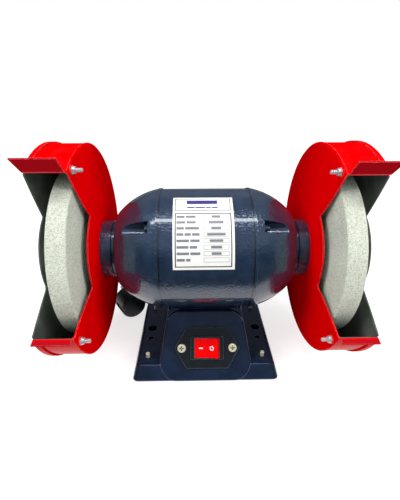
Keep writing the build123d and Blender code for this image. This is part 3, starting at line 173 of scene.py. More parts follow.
def build_edge_wear():
    """Mask of sharp edges where the coat is thin, broken up by noise."""
    wiring, given, result = effect_group(
        "edge wear", [("Width", 0.0006), ("Patchiness", 0.4)], [("Mask", "NodeSocketFloat")]
    )
    where = wiring.add("ShaderNodeTexCoord").outputs["Object"]
    rounded = wiring.add("ShaderNodeBevel", samples=4)
    wiring.join(given.outputs["Width"], rounded.inputs["Radius"])
    facing = wiring.add("ShaderNodeVectorMath", operation="DOT_PRODUCT")
    wiring.join(rounded.outputs["Normal"], facing.inputs[0])
    wiring.join(wiring.add("ShaderNodeNewGeometry").outputs["Normal"], facing.inputs[1])
    edge = wiring.ramp(facing.outputs["Value"], 0.97, 0.80)
    patches = wiring.noise(where, 0.004, 3.0)
    kept = wiring.math("GREATER_THAN", patches, given.outputs["Patchiness"])
    wiring.join(wiring.math("MULTIPLY", edge, kept), result.inputs["Mask"])
    return wiring.tree


def build_dust():
    """Mask of fine grinding dust that settles on faces looking up, thicker in patches."""
    wiring, given, result = effect_group("settled dust", [("Amount", 0.3)], [("Mask", "NodeSocketFloat")])
    where = wiring.add("ShaderNodeTexCoord").outputs["Object"]
    split = wiring.add("ShaderNodeSeparateXYZ")
    wiring.join(wiring.add("ShaderNodeNewGeometry").outputs["Normal"], split.inputs["Vector"])
    upward = wiring.ramp(split.outputs["Z"], 0.1, 1.0)
    patches = wiring.ramp(wiring.noise(where, 0.012, 5.0, 0.65), 0.4, 0.75)
    settled = wiring.math("MULTIPLY", upward, patches)
    wiring.join(wiring.math("MULTIPLY", settled, given.outputs["Amount"]), result.inputs["Mask"])
    return wiring.tree


def build_hollow_shade():
    """Mask of grooves, recesses and inside corners where little light reaches, for darkening them as painted
    shade.
    """
    wiring, given, result = effect_group(
        "painted hollow shade", [("Reach", 0.004), ("Depth", 1.0)], [("Mask", "NodeSocketFloat")]
    )
    openness = wiring.add("ShaderNodeAmbientOcclusion", samples=6, only_local=True)
    wiring.join(given.outputs["Reach"], openness.inputs["Distance"])
    closed = wiring.ramp(openness.outputs["AO"], 0.85, 0.35)
    wiring.join(wiring.math("MULTIPLY", closed, given.outputs["Depth"]), result.inputs["Mask"])
    return wiring.tree


def build_fine_grain():
    """Fine grain of moulded plastic, rubber, film and plating."""
    wiring, given, result = effect_group(
        "fine grain",
        [("Grain Size", 0.0005)],
        [("Height", "NodeSocketFloat"), ("Tone", "NodeSocketFloat")],
    )
    where = wiring.add("ShaderNodeTexCoord").outputs["Object"]
    grain = wiring.add("ShaderNodeTexVoronoi", {"Scale": 1.0})
    wiring.join(place(wiring, where, given.outputs["Grain Size"]), grain.inputs["Vector"])
    wiring.join(grain.outputs["Distance"], result.inputs["Height"])
    wiring.join(wiring.noise(where, 0.008, 4.0), result.inputs["Tone"])
    return wiring.tree


def build_turning_marks():
    """Fine rings that a lathe leaves round the shaft, and the tone that goes with them."""
    wiring, given, result = effect_group(
        "turning marks",
        [("Ring Width", 0.0003)],
        [("Height", "NodeSocketFloat"), ("Tone", "NodeSocketFloat")],
    )
    split = wiring.add("ShaderNodeSeparateXYZ")
    wiring.join(wiring.add("ShaderNodeTexCoord").outputs["Object"], split.inputs["Vector"])
    above = wiring.math("SUBTRACT", split.outputs["Z"], shaft_height)
    radius = wiring.math(
        "SQRT",
        wiring.math("ADD", wiring.math("POWER", split.outputs["Y"], 2.0), wiring.math("POWER", above, 2.0)),
    )
    ring = wiring.add("ShaderNodeCombineXYZ")
    wiring.join(wiring.math("DIVIDE", split.outputs["X"], given.outputs["Ring Width"]), ring.inputs["X"])
    wiring.join(wiring.math("DIVIDE", radius, given.outputs["Ring Width"]), ring.inputs["Y"])
    rings = wiring.add("ShaderNodeTexNoise", {"Scale": 1.0, "Detail": 2.0})
    wiring.join(ring.outputs["Vector"], rings.inputs["Vector"])
    wiring.join(rings.outputs["Fac"], result.inputs["Height"])
    wiring.join(wiring.ramp(rings.outputs["Fac"], 0.3, 0.7), result.inputs["Tone"])
    return wiring.tree


ENAMEL_SKIN = build_enamel_skin()
EDGE_WEAR = build_edge_wear()
SETTLED_DUST = build_dust()
PAINTED_HOLLOW_SHADE = build_hollow_shade()
FINE_GRAIN = build_fine_grain()
TURNING_MARKS = build_turning_marks()


class Finish:
    """A material with its Principled shader, and the calls that every finish uses."""

    def __init__(self, name, **sockets):
        self.material = bpy.data.materials.new(name)
        self.material.use_nodes = True
        self.wiring = Wiring(self.material.node_tree)
        self.shader = self.material.node_tree.nodes["Principled BSDF"]
        for socket, value in sockets.items():
            self.shader.inputs[socket.replace("_", " ")].default_value = value
        self.where = self.wiring.add("ShaderNodeTexCoord").outputs["Object"]

    def effect(self, tree, **values):
        """Place a shared effect with this finish's own values, and give its outputs."""
        node = self.wiring.add("ShaderNodeGroup")
        node.node_tree = tree
        for name, value in values.items():
            node.inputs[name.replace("_", " ")].default_value = value
        return node.outputs

    def relief(self, height, distance):
        """Surface relief `distance` metres deep."""
        bump = self.wiring.add("ShaderNodeBump", {"Distance": distance})
        self.wiring.join(height, bump.inputs["Height"])
        self.wiring.join(bump.outputs["Normal"], self.shader.inputs["Normal"])

    def colour(self, value):
        """Set the base colour from a socket."""
        self.wiring.join(value, self.shader.inputs["Base Color"])

    def roughness(self, value, low, high):
        """Roughness from low, where value is 0, to high, where it is 1."""
        self.wiring.join(self.wiring.ramp(value, 0.0, 1.0, low, high), self.shader.inputs["Roughness"])


# ------------------------------------------------------------------ finishes
COLD_GLOSS = (0.70, 0.80, 1.0, 1.0)
# the motor: the dark line at each end of the barrel, and how the wear and the painted shade of the hollows
# fade on the necks
SEAM_HALF_WIDTH = 0.0009
SEAM_CORE = 0.0003
NECK_BLEND = 0.002
NECK_HOLLOW_SHADE = 0.3


def motor_enamel():
    """Dark blue enamel with a strong orange peel, on the barrel and the end bells, dark along their seams."""
    finish = Finish("motor enamel", Specular_Tint=COLD_GLOSS, Coat_Weight=0.75, Coat_Roughness=0.05)
    wiring = finish.wiring
    skin = finish.effect(ENAMEL_SKIN, Peel_Size=0.0026, Ripple_Size=0.014, Ripple=0.9)
    wear = finish.effect(EDGE_WEAR, Width=0.0009, Patchiness=0.5)
    dust = finish.effect(SETTLED_DUST, Amount=0.05)
    hollow_shade = finish.effect(PAINTED_HOLLOW_SHADE, Reach=0.012, Depth=0.9)
    split = wiring.add("ShaderNodeSeparateXYZ")
    wiring.join(finish.where, split.inputs["Vector"])
    along = wiring.math("ABSOLUTE", split.outputs["X"])
    from_seam = wiring.math("ABSOLUTE", wiring.math("SUBTRACT", along, seam_x))
    seam = wiring.ramp(from_seam, SEAM_HALF_WIDTH, SEAM_CORE)
    base = wiring.mix(skin["Tone"], paint(25, 41, 62), paint(32, 50, 72))
    off_neck = wiring.ramp(along, NECK_X + NECK_BLEND, NECK_X)
    # painted shade in the bolt pockets and grooves, kept faint on the necks
    neck_faded_hollow_shade = wiring.math("MULTIPLY", hollow_shade["Mask"], wiring.math("ADD", off_neck, NECK_HOLLOW_SHADE))
    rubbed = wiring.math("MULTIPLY", wear["Mask"], off_neck)
    worn = wiring.mix(rubbed, base, paint(84, 94, 116))
    dusty = wiring.mix(dust["Mask"], worn, paint(120, 124, 132))
    # the darker of the painted hollow shade and the dark seam line
    dark = wiring.math("MAXIMUM", neck_faded_hollow_shade, wiring.math("MULTIPLY", seam, 0.8))
    finish.colour(wiring.mix(dark, dusty, paint(8, 12, 20)))
    finish.roughness(skin["Tone"], 0.12, 0.2)
    finish.relief(skin["Height"], 0.0006)
    return finish.material


def base_enamel():
    """A darker blue on the cast base, on the broader ripples of the casting."""
    finish = Finish(
        "base enamel",
        Specular_IOR_Level=0.22,
        Specular_Tint=COLD_GLOSS,
        Coat_Weight=0.12,
        Coat_Roughness=0.07,
    )
    skin = finish.effect(ENAMEL_SKIN, Peel_Size=0.0045, Ripple_Size=0.02, Ripple=1.2)
    wear = finish.effect(EDGE_WEAR, Width=0.0015, Patchiness=0.25)
    dust = finish.effect(SETTLED_DUST, Amount=0.03)
    hollow_shade = finish.effect(PAINTED_HOLLOW_SHADE, Reach=0.008, Depth=0.8)
    base = finish.wiring.mix(skin["Tone"], paint(18, 31, 50), paint(24, 38, 62))
    # pale edges: wear, and a painted highlight along the casting's rounded edges
    worn = finish.wiring.mix(wear["Mask"], base, paint(108, 120, 148))
    dusty = finish.wiring.mix(dust["Mask"], worn, paint(110, 114, 124))
    # the casting's hollows and inside corners darkened as painted shade
    finish.colour(finish.wiring.mix(hollow_shade["Mask"], dusty, paint(6, 9, 14)))
    finish.roughness(skin["Tone"], 0.14, 0.24)
    finish.relief(skin["Height"], 0.0004)
    return finish.material


# the guards: how thick their band is, where their lips begin, and how painted shade darkens the red to the
# back and below
BAND_WALL = 0.003
LIP_BEGINS, LIP_FULL = BAND_RADIUS + 0.0012, BAND_RADIUS + 0.0025
BACK_SHADE_BEGINS, BACK_SHADE_FULL = 0.01, 0.09
BACK_SHADE = 0.38
FOOT_SHADE = 1.35
FACES_ALONG_SHAFT = 0.5


def guard_enamel(side, name, dark_edges):
    """Red enamel outside a guard or its cover, darkened as painted shade on the lips, to the back and below,
    with a dark grey coat inside.

    A cover's cut edges are grey too.
    """
    finish = Finish(name, Specular_IOR_Level=0.0, Coat_Roughness=0.15)
    wiring = finish.wiring
    skin = finish.effect(ENAMEL_SKIN, Peel_Size=0.0018, Ripple_Size=0.03, Ripple=1.0)
    wear = finish.effect(EDGE_WEAR, Width=0.0006, Patchiness=0.4)
    dust = finish.effect(SETTLED_DUST, Amount=0.01)
    from_middle = wiring.add("ShaderNodeVectorMath", operation="SUBTRACT")
    wiring.join(finish.where, from_middle.inputs[0])
    from_middle.inputs[1].default_value = (side * GUARD_MIDDLE_X, 0.0, shaft_height)
    spot = wiring.add("ShaderNodeSeparateXYZ")
    wiring.join(from_middle.outputs["Vector"], spot.inputs["Vector"])
    squares = [wiring.math("POWER", spot.outputs[axis], 2.0) for axis in "YZ"]
    radius = wiring.math("SQRT", wiring.math("ADD", *squares))
    normal = wiring.add("ShaderNodeNewGeometry").outputs["True Normal"]
    aim = wiring.add("ShaderNodeSeparateXYZ")
    wiring.join(normal, aim.inputs["Vector"])
    if dark_edges:
        outward = wiring.math("MULTIPLY", aim.outputs["X"], float(side))
        inward = wiring.math("LESS_THAN", outward, FACES_ALONG_SHAFT)
    else:
        facing = wiring.add("ShaderNodeVectorMath", operation="DOT_PRODUCT")
        wiring.join(from_middle.outputs["Vector"], facing.inputs[0])
        wiring.join(normal, facing.inputs[1])
        inward = wiring.math("LESS_THAN", facing.outputs["Value"], 0.0)
        along = wiring.math("ABSOLUTE", aim.outputs["X"])
        on_plate = wiring.math("GREATER_THAN", along, FACES_ALONG_SHAFT)
        on_band = wiring.math("GREATER_THAN", radius, BAND_RADIUS - BAND_WALL)
        inward = wiring.math("MULTIPLY", inward, wiring.math("MAXIMUM", on_plate, on_band))
    inside = wiring.math("MULTIPLY", inward, wiring.math("LESS_THAN", radius, BAND_RADIUS))
    shaded_lip = wiring.ramp(radius, LIP_BEGINS, LIP_FULL)
    behind = wiring.ramp(spot.outputs["Y"], -BACK_SHADE_BEGINS, BACK_SHADE_FULL, 0.0, BACK_SHADE)
    below = wiring.math("MULTIPLY", wiring.ramp(spot.outputs["Z"], -BACK_SHADE_BEGINS, -BACK_SHADE_FULL), FOOT_SHADE)
    painted_back_shade = wiring.math("ADD", behind, wiring.math("MULTIPLY", behind, below))
    red = wiring.mix(skin["Tone"], paint(228, 0, 3), paint(238, 0, 4))
    # painted shade: the red darkens towards the back of the guard, and more so low at the back
    red = wiring.mix(painted_back_shade, red, paint(70, 0, 8))
    # painted shade: the lips turn a darker red
    red = wiring.mix(shaded_lip, red, paint(176, 14, 26))
    # pale edges: wear, and a painted highlight along the guard's cut edges
    worn = wiring.mix(wear["Mask"], red, paint(250, 120, 122))
    dusty = wiring.mix(dust["Mask"], worn, paint(214, 150, 146))
    grey = wiring.mix(skin["Tone"], paint(82, 87, 83), paint(104, 109, 104))
    finish.colour(wiring.mix(inside, dusty, grey))
    uneven = wiring.math("MULTIPLY", skin["Tone"], 0.25)
    finish.roughness(wiring.math("MAXIMUM", inside, uneven), 0.2, 0.5)
    plain_red = wiring.math("SUBTRACT", 1.0, wiring.math("MAXIMUM", inside, shaded_lip))
    facing_down = wiring.ramp(aim.outputs["Z"], -0.2, -0.6, 0.0, 0.35)
    wiring.join(wiring.math("MULTIPLY", facing_down, plain_red), finish.shader.inputs["Coat Weight"])
    finish.relief(skin["Height"], 0.00012)
    return finish.material


# sizes of what repeats in the next finishes: the stone's grains and pores, screw threads and steel sheets
STONE_GRAIN = 0.00085
STONE_PORE = 0.0012
THREAD_PITCH = 0.0008
SHEET_PITCH = 0.001


def abrasive_stone():
    """Vitrified abrasive: pale greenish grey grit with darker and lighter grains and small pores."""
    finish = Finish("abrasive stone", Roughness=0.92, Specular_IOR_Level=0.2)
    wiring = finish.wiring
    grains = wiring.add("ShaderNodeTexVoronoi", {"Scale": 1.0 / STONE_GRAIN})
    wiring.join(finish.where, grains.inputs["Vector"])
    grain_tone = wiring.add("ShaderNodeSeparateColor")
    wiring.join(grains.outputs["Color"], grain_tone.inputs["Color"])
    clouds = wiring.ramp(wiring.noise(finish.where, 0.03, 3.0), 0.35, 0.65)
    body = wiring.mix(clouds, paint(214, 219, 204), paint(222, 228, 213))
    dark = wiring.math("GREATER_THAN", grain_tone.outputs["Red"], 0.7)
    light = wiring.math("GREATER_THAN", grain_tone.outputs["Green"], 0.84)
    with_dark = wiring.mix(wiring.math("MULTIPLY", dark, 0.5), body, paint(150, 155, 138))
    with_light = wiring.mix(wiring.math("MULTIPLY", light, 0.6), with_dark, paint(238, 242, 232))
    pores = wiring.ramp(wiring.noise(finish.where, STONE_PORE, 4.0, 0.7), 0.26, 0.38)
    finish.colour(wiring.mix(pores, paint(166, 170, 154), with_light))
    height = wiring.math("ADD", grain_tone.outputs["Blue"], wiring.math("MULTIPLY", pores, 1.2))
    finish.relief(height, 0.00022)
    return finish.material


def turned_steel(name, light, dark, rough_low, rough_high):
    """Machined metal with lathe rings."""
    finish = Finish(name, Metallic=1.0)
    marks = finish.effect(TURNING_MARKS, Ring_Width=0.0003)
    wear = finish.effect(EDGE_WEAR, Width=0.0004, Patchiness=0.3)
    tone = finish.wiring.mix(marks["Tone"], dark, light)
    finish.colour(finish.wiring.mix(wear["Mask"], tone, paint(236, 236, 238)))
    finish.roughness(marks["Tone"], rough_low, rough_high)
    finish.relief(marks["Height"], 0.00004)
    return finish.material


def plated_steel(name, light, dark, thread_from=None, metallic=0.92):
    """Zinc-plated steel; where thread_from is given, screws are threaded nearer to the middle than that."""
    finish = Finish(name, Metallic=metallic)
    wiring = finish.wiring
    grain = finish.effect(FINE_GRAIN, Grain_Size=0.0007)
    wear = finish.effect(EDGE_WEAR, Width=0.0003, Patchiness=0.2)
    hollow_shade = finish.effect(PAINTED_HOLLOW_SHADE, Reach=0.0022, Depth=0.95)
    tone = wiring.mix(grain["Tone"], dark, light)
    worn = wiring.mix(wear["Mask"], tone, paint(240, 240, 232))
    # recesses such as the screws' cross slots darkened as painted shade
    finish.colour(wiring.mix(hollow_shade["Mask"], worn, paint(24, 24, 18)))
    finish.roughness(grain["Tone"], 0.22, 0.42)
    height = wiring.math("MULTIPLY", grain["Height"], 0.1)
    if thread_from is not None:
        split = wiring.add("ShaderNodeSeparateXYZ")
        wiring.join(finish.where, split.inputs["Vector"])
        turns = wiring.math("SINE", wiring.math("MULTIPLY", split.outputs["X"], 2 * pi / THREAD_PITCH))
        along = wiring.math("ABSOLUTE", split.outputs["X"])
        threaded = wiring.math("LESS_THAN", along, thread_from)
        height = wiring.math("ADD", height, wiring.math("MULTIPLY", turns, threaded))
    finish.relief(height, 0.00012)
    return finish.material


def moulded_plastic(name, light, dark, rough_low, rough_high, grain_size=0.0006, edge_tone=None):
    """Moulded plastic with an eroded grain and paler rubbed edges."""
    finish = Finish(name, Specular_IOR_Level=0.35)
    grain = finish.effect(FINE_GRAIN, Grain_Size=grain_size)
    wear = finish.effect(EDGE_WEAR, Width=0.0014, Patchiness=0.2)
    tone = finish.wiring.mix(grain["Tone"], dark, light)
    brighter = (*(min(1.0, channel * 1.6 + 0.02) for channel in light[:3]), 1.0)
    finish.colour(finish.wiring.mix(wear["Mask"], tone, edge_tone or brighter))
    finish.roughness(grain["Tone"], rough_low, rough_high)
    finish.relief(grain["Height"], 0.00006)
    return finish.material


def rocker_plastic():
    """Glossy red of the rocker."""
    finish = Finish("rocker plastic", Specular_IOR_Level=0.06, Coat_Weight=0.05, Coat_Roughness=0.05)
    grain = finish.effect(FINE_GRAIN, Grain_Size=0.0012)
    finish.colour(finish.wiring.mix(grain["Tone"], paint(238, 0, 4), paint(248, 4, 6)))
    finish.roughness(grain["Tone"], 0.18, 0.3)
    finish.relief(grain["Height"], 0.00002)
    return finish.material


def sticker_film():
    """White film of the rating sticker, with faint mottling."""
    finish = Finish("sticker film", Specular_IOR_Level=0.35)
    grain = finish.effect(FINE_GRAIN, Grain_Size=0.0015)
    finish.colour(finish.wiring.mix(grain["Tone"], paint(241, 242, 238), paint(249, 250, 246)))
    finish.roughness(grain["Tone"], 0.3, 0.45)
    finish.relief(grain["Height"], 0.00002)
    return finish.material


def printed_ink(name, colour, pale):
    """Screen-printed ink with slightly uneven cover."""
    finish = Finish(name)
    speckle = finish.wiring.ramp(finish.wiring.noise(finish.where, 0.0006, 2.0), 0.35, 0.75)
    finish.colour(finish.wiring.mix(speckle, colour, pale))
    finish.roughness(speckle, 0.4, 0.6)
    return finish.material


def soft_rubber(name, light, dark, grain_size=0.0008):
    """Rubber and flexible PVC: matt, slightly dusty."""
    finish = Finish(name, Specular_IOR_Level=0.35)
    grain = finish.effect(FINE_GRAIN, Grain_Size=grain_size)
    dust = finish.effect(SETTLED_DUST, Amount=0.2)
    tone = finish.wiring.mix(grain["Tone"], dark, light)
    finish.colour(finish.wiring.mix(dust["Mask"], tone, paint(110, 110, 108)))
    finish.roughness(grain["Tone"], 0.45, 0.7)
    finish.relief(grain["Height"], 0.00005)
    return finish.material


def wound_copper():
    """Varnished copper wire, seen as fine strands round the shaft."""
    finish = Finish("wound copper", Metallic=0.7)
    marks = finish.effect(TURNING_MARKS, Ring_Width=0.0008)
    finish.colour(finish.wiring.mix(marks["Tone"], paint(120, 62, 30), paint(176, 100, 52)))
    finish.roughness(marks["Tone"], 0.3, 0.5)
    finish.relief(marks["Height"], 0.0004)
    return finish.material


def stacked_sheets():
    """Edges of stacked electrical sheet: fine bands along the shaft."""
    finish = Finish("stacked sheets", Metallic=0.85)
    wiring = finish.wiring
    split = wiring.add("ShaderNodeSeparateXYZ")
    wiring.join(finish.where, split.inputs["Vector"])
    waves = wiring.math("SINE", wiring.math("MULTIPLY", split.outputs["X"], 2 * pi / SHEET_PITCH))
    bands = wiring.ramp(waves, -1.0, 1.0)
    finish.colour(wiring.mix(bands, paint(84, 84, 88), paint(128, 128, 134)))
    finish.roughness(bands, 0.35, 0.55)
    finish.relief(bands, 0.0001)
    return finish.material


def pressed_card():
    """Fibrous card of the blotters."""
    finish = Finish("pressed card", Roughness=0.85)
    fibres = finish.wiring.noise(finish.where, 0.0008, 4.0, 0.7)
    finish.colour(finish.wiring.mix(fibres, paint(120, 98, 70), paint(168, 146, 112)))
    finish.relief(fibres, 0.0001)
    return finish.material


def dress(material, *nodes):
    """Give these nodes this material all over."""
    for node in nodes:
        for slot in frame["nodes"][node].material_slots:
            slot.material = material


def both(stem):
    """The names of the left and the right node of a pair."""
    return f"{stem}_left", f"{stem}_right"


dress(motor_enamel(), "motor_shell", "through_bolts", "through_bolt_nuts", *both("end_bell"))
dress(base_enamel(), "base_casting")
for side, hand in ((-1, "left"), (1, "right")):
    dress(guard_enamel(side, f"{hand} guard enamel", False), f"guard_{hand}")
    dress(guard_enamel(side, f"{hand} cover enamel", True), f"guard_cover_{hand}")
dress(abrasive_stone(), *both("wheel"))
dress(
    turned_steel("turned steel", paint(196, 196, 200), paint(150, 150, 156), 0.22, 0.38),
    "shaft",
    "wave_washer",
    *both("bearing_outer"),
    *both("bearing_inner"),
    *both("bearing_cage"),
    *both("bearing_balls"),
    *both("inner_flange"),
    *both("outer_flange"),
)
dress(
    plated_steel("bright zinc", paint(230, 230, 230), paint(190, 190, 192), metallic=0.6),
    "cover_nuts",
    "plug_pins",
    "saddle_screws",
    "bottom_plate_screws",
    "guard_mount_screws",
    "capacitor_clip",
    *both("shaft_nut"),
)
yellow_zinc = plated_steel("yellow zinc", paint(244, 244, 212), paint(214, 212, 172), metallic=0.35)
dress(yellow_zinc, "switch_plate_screws", "earth_screw", "foot_screws")
PAST_NUT = 0.001
thread_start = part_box("cover_nuts")[1].x + PAST_NUT
screw_zinc = plated_steel("screw zinc", paint(236, 236, 234), paint(196, 196, 196), thread_start, 0.5)
dress(screw_zinc, "cover_screws")
dress(plated_steel("zinc sheet", paint(84, 86, 90), paint(62, 64, 68)), "base_bottom_plate")
dress(stacked_sheets(), "stator_core", "rotor_core")
dress(wound_copper(), "stator_windings")
aluminium = plated_steel("cast aluminium", paint(190, 192, 196), paint(150, 152, 156))
dress(aluminium, "rotor_end_rings", "capacitor")
# the black plastic's pale edges: wear, and a painted highlight on the rims of the bezel and plate
black_light, black_dark, black_edge_wear_and_highlight = paint(14, 25, 30), paint(8, 15, 19), paint(104, 120, 118)
black_plastic = moulded_plastic("black plastic", black_light, black_dark, 0.35, 0.5, edge_tone=black_edge_wear_and_highlight)
dress(black_plastic, "switch_plate", "switch_housing")
plug_plastic = moulded_plastic("plug plastic", paint(20, 30, 38), paint(10, 16, 22), 0.3, 0.45, 0.0004)
dress(plug_plastic, "plug_body", "strain_relief")
dress(moulded_plastic("bush plastic", paint(40, 40, 42), paint(28, 28, 30), 0.45, 0.6), *both("wheel_bush"))
pale_plastic = moulded_plastic("pale plastic", paint(212, 210, 200), paint(190, 188, 178), 0.4, 0.55)
dress(pale_plastic, "terminal_block")
dress(rocker_plastic(), "rocker_button")
dress(sticker_film(), "rating_label")
dress(soft_rubber("foot rubber", paint(32, 32, 33), paint(18, 18, 19)), "rubber_feet", "wiring_leads")
dress(pressed_card(), "wheel_blotters")
dress(turned_steel("brass", paint(206, 170, 96), paint(168, 132, 66), 0.25, 0.4), "switch_terminals")


# ------------------------------------------------------------------ pieces made here
def mesh_piece(name, build, material, body):
    """A new mesh piece: build(bmesh) fills it, and it rides on a body."""
    shape = bmesh.new()
    build(shape)
    bmesh.ops.remove_doubles(shape, verts=shape.verts, dist=1e-7)
    bmesh.ops.recalc_face_normals(shape, faces=shape.faces)
    mesh = bpy.data.meshes.new(name)
    shape.to_mesh(mesh)
    shape.free()
    piece = bpy.data.objects.new(name, mesh)
    bpy.context.collection.objects.link(piece)
    mesh.materials.append(material)
    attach(piece, body)
    return piece


# sticker print: rules, boxes and plain bars where a sticker has its lines of type
label_width = label_high.x - label_low.x
label_spots = [vertex.co for vertex in frame["nodes"]["rating_label"].data.vertices]
label_radius = max(Vector((0, spot.y, spot.z - shaft_height)).length for spot in label_spots)
label_angles = [atan2(spot.z - shaft_height, -spot.y) for spot in label_spots]
label_low_angle, label_top_angle = min(label_angles), max(label_angles)
PRINT_LIFT = 0.00006


def on_sticker(across, down):
    """A point just above the sticker; across runs 0 to 1 from the left, down 0 to 1 from the top edge."""
    angle = label_top_angle + (label_low_angle - label_top_angle) * down
    radius = label_radius + PRINT_LIFT
    left = label_low.x + label_width * across
    return Vector((left, -radius * cos(angle), shaft_height + radius * sin(angle)))


def print_patch(shape, left, right, top, bottom):
    """A printed rectangle that follows the sticker's curve."""
    steps = max(1, round((bottom - top) * PRINT_STEPS))
    rows = []
    for n in range(steps + 1):
        down = top + (bottom - top) * n / steps
        rows.append([shape.verts.new(on_sticker(across, down)) for across in (left, right)])
    for upper, lower in zip(rows, rows[1:]):
        shape.faces.new((upper[0], lower[0], lower[1], upper[1]))


# how finely print follows the curve, then shares of the sticker's width, or of its height along the curve
PRINT_STEPS = 40
ROW_FIRST = 0.333
ROW_STEP = 0.0777
ROW_COUNT = 8
BOX_HALF = 0.028
BOX_LEFT, BOX_RIGHT = 0.50, 0.91
WORDS_LEFT = 0.065
WORD_GAP = 0.02
LINE_HALF = 0.016
FRAME_LEFT, FRAME_RIGHT = 0.036, 0.958
HEADER_TOP, HEADER_FOOT = 0.03, 0.243
TABLE_TOP, TABLE_FOOT = 0.28, 0.968
HEADER_RULE, TABLE_RULE, BOX_RULE = 0.010, 0.017, 0.006
BAR_LEFT, BAR_RIGHT, BAR_TOP, BAR_FOOT = 0.23, 0.74, 0.064, 0.132
SMALL_TOP, SMALL_FOOT, SMALL_GAP = 0.182, 0.202, 0.015
# a rule is as thick down the sticker as it is across
STICKER_HEIGHT = 85.0 * MM
SHAPE_RATIO = label_width / STICKER_HEIGHT


def print_box(shape, left, right, top, bottom, line):
    """Four printed rules round a rectangle, each `line` of the sticker's width thick."""
    tall = line * SHAPE_RATIO
    print_patch(shape, left, right, top, top + tall)
    print_patch(shape, left, right, bottom - tall, bottom)
    print_patch(shape, left, left + line, top, bottom)
    print_patch(shape, right - line, right, top, bottom)


def sticker_frames(shape):
    """The frames round the header and the table."""
    print_box(shape, FRAME_LEFT, FRAME_RIGHT, HEADER_TOP, HEADER_FOOT, HEADER_RULE)
    print_box(shape, FRAME_LEFT, FRAME_RIGHT, TABLE_TOP, TABLE_FOOT, TABLE_RULE)


def sticker_boxes(shape):
    """The thin box at the end of each row of the table."""
    for n in range(ROW_COUNT):
        middle = ROW_FIRST + ROW_STEP * n
        print_box(shape, BOX_LEFT, BOX_RIGHT, middle - BOX_HALF, middle + BOX_HALF, BOX_RULE)


def sticker_lines(shape):
    """Plain bars in place of type: a few words in each row, and a short value in each box but the last."""
    word_lengths = (
        (0.13, 0.16),
        (0.14, 0.15),
        (0.12, 0.22),
        (0.11, 0.1, 0.12),
        (0.2, 0.15),
        (0.19, 0.12),
        (0.2, 0.16),
        (0.13, 0.07),
    )
    value_halves = (0.07, 0.12, 0.08, 0.15, 0.11, 0.09, 0.08, 0.0)
    for n, (words, half) in enumerate(zip(word_lengths, value_halves)):
        middle = ROW_FIRST + ROW_STEP * n
        left = WORDS_LEFT
        for length in words:
            print_patch(shape, left, left + length, middle - LINE_HALF, middle + LINE_HALF)
            left += length + WORD_GAP
        if half:
            centre = (BOX_LEFT + BOX_RIGHT) / 2
            print_patch(shape, centre - half, centre + half, middle - LINE_HALF, middle + LINE_HALF)


def sticker_header(shape):
    """A plain blue bar in the header's box, with a thin broken line under it."""
    print_patch(shape, BAR_LEFT, BAR_RIGHT, BAR_TOP, BAR_FOOT)
    left = BAR_LEFT
    for length in (0.13, 0.16, 0.08, 0.1):
        print_patch(shape, left, left + length, SMALL_TOP, SMALL_FOOT)
        left += length + SMALL_GAP


ink_dark = printed_ink("dark ink", paint(38, 38, 46), paint(66, 66, 76))
ink_pale = printed_ink("grey ink", paint(112, 112, 120), paint(150, 150, 158))
ink_blue = printed_ink("blue ink", paint(46, 44, 122), paint(70, 68, 142))
mesh_piece("sticker_frames", sticker_frames, ink_dark, "stand")
mesh_piece("sticker_boxes", sticker_boxes, ink_pale, "stand")
mesh_piece("sticker_lines", sticker_lines, ink_pale, "stand")
mesh_piece("sticker_header", sticker_header, ink_blue, "stand")

# switch marks on the rocker's two faces
joints = {joint["name"]: joint for joint in frame["joints"]}
pivot = Vector(joints["rocker_tilt"]["pos_m"])
up_face = Vector(joints["rocker_tilt"]["axis"]).normalized()
out_of_face = Vector((1, 0, 0)).cross(up_face)
ROCKER_REST = radians(12.0)
rocker_across = Vector((1, 0, 0)) * cos(ROCKER_REST) + out_of_face * sin(ROCKER_REST)
rocker_out = rocker_across.cross(up_face)
# the rocker's shallow V: how high its valley and its crests lie over the pivot, and how far apart they are
VALLEY = 1.9 * MM
CREST = 4.95 * MM
CREST_REACH = 14.37 * MM
MARK_LIFT = 0.08 * MM
DASH_MIDDLE, DASH_HALF_LENGTH, DASH_HALF_WIDTH = 7.0 * MM, 2.4 * MM, 0.75 * MM
RING_MIDDLE, RING_OUTER, RING_INNER = 6.6 * MM, 2.7 * MM, 1.6 * MM
RING_STEPS = 40
face_slope = atan2(CREST - VALLEY, CREST_REACH)


def on_rocker(side, along, up):
    """A point on one of the rocker's faces, `along` metres from the valley and `up` metres up the face."""
    reach = side * along * cos(face_slope)
    rise = VALLEY + along * sin(face_slope) + MARK_LIFT
    return pivot + rocker_across * reach + rocker_out * rise + up_face * up


def dash_mark(shape):
    """The bar on the rocker's left face."""
    corners = [
        (DASH_MIDDLE + across * DASH_HALF_LENGTH, up * DASH_HALF_WIDTH)
        for across, up in ((-1, -1), (1, -1), (1, 1), (-1, 1))
    ]
    shape.faces.new([shape.verts.new(on_rocker(-1, along, up)) for along, up in corners])


def ring_mark(shape):
    """The ring on the rocker's right face."""
    loops = []
    for radius in (RING_OUTER, RING_INNER):
        loop = []
        for n in range(RING_STEPS):
            angle = 2 * pi * n / RING_STEPS
            loop.append(shape.verts.new(on_rocker(1, RING_MIDDLE + radius * cos(angle), radius * sin(angle))))
        loops.append(loop)
    for n in range(RING_STEPS):
        following = (n + 1) % RING_STEPS
        shape.faces.new((loops[0][n], loops[0][following], loops[1][following], loops[1][n]))


ink_white = printed_ink("white ink", paint(250, 246, 244), paint(238, 226, 224))
mesh_piece("on_mark", dash_mark, ink_white, "rocker")
mesh_piece("off_mark", ring_mark, ink_white, "rocker")

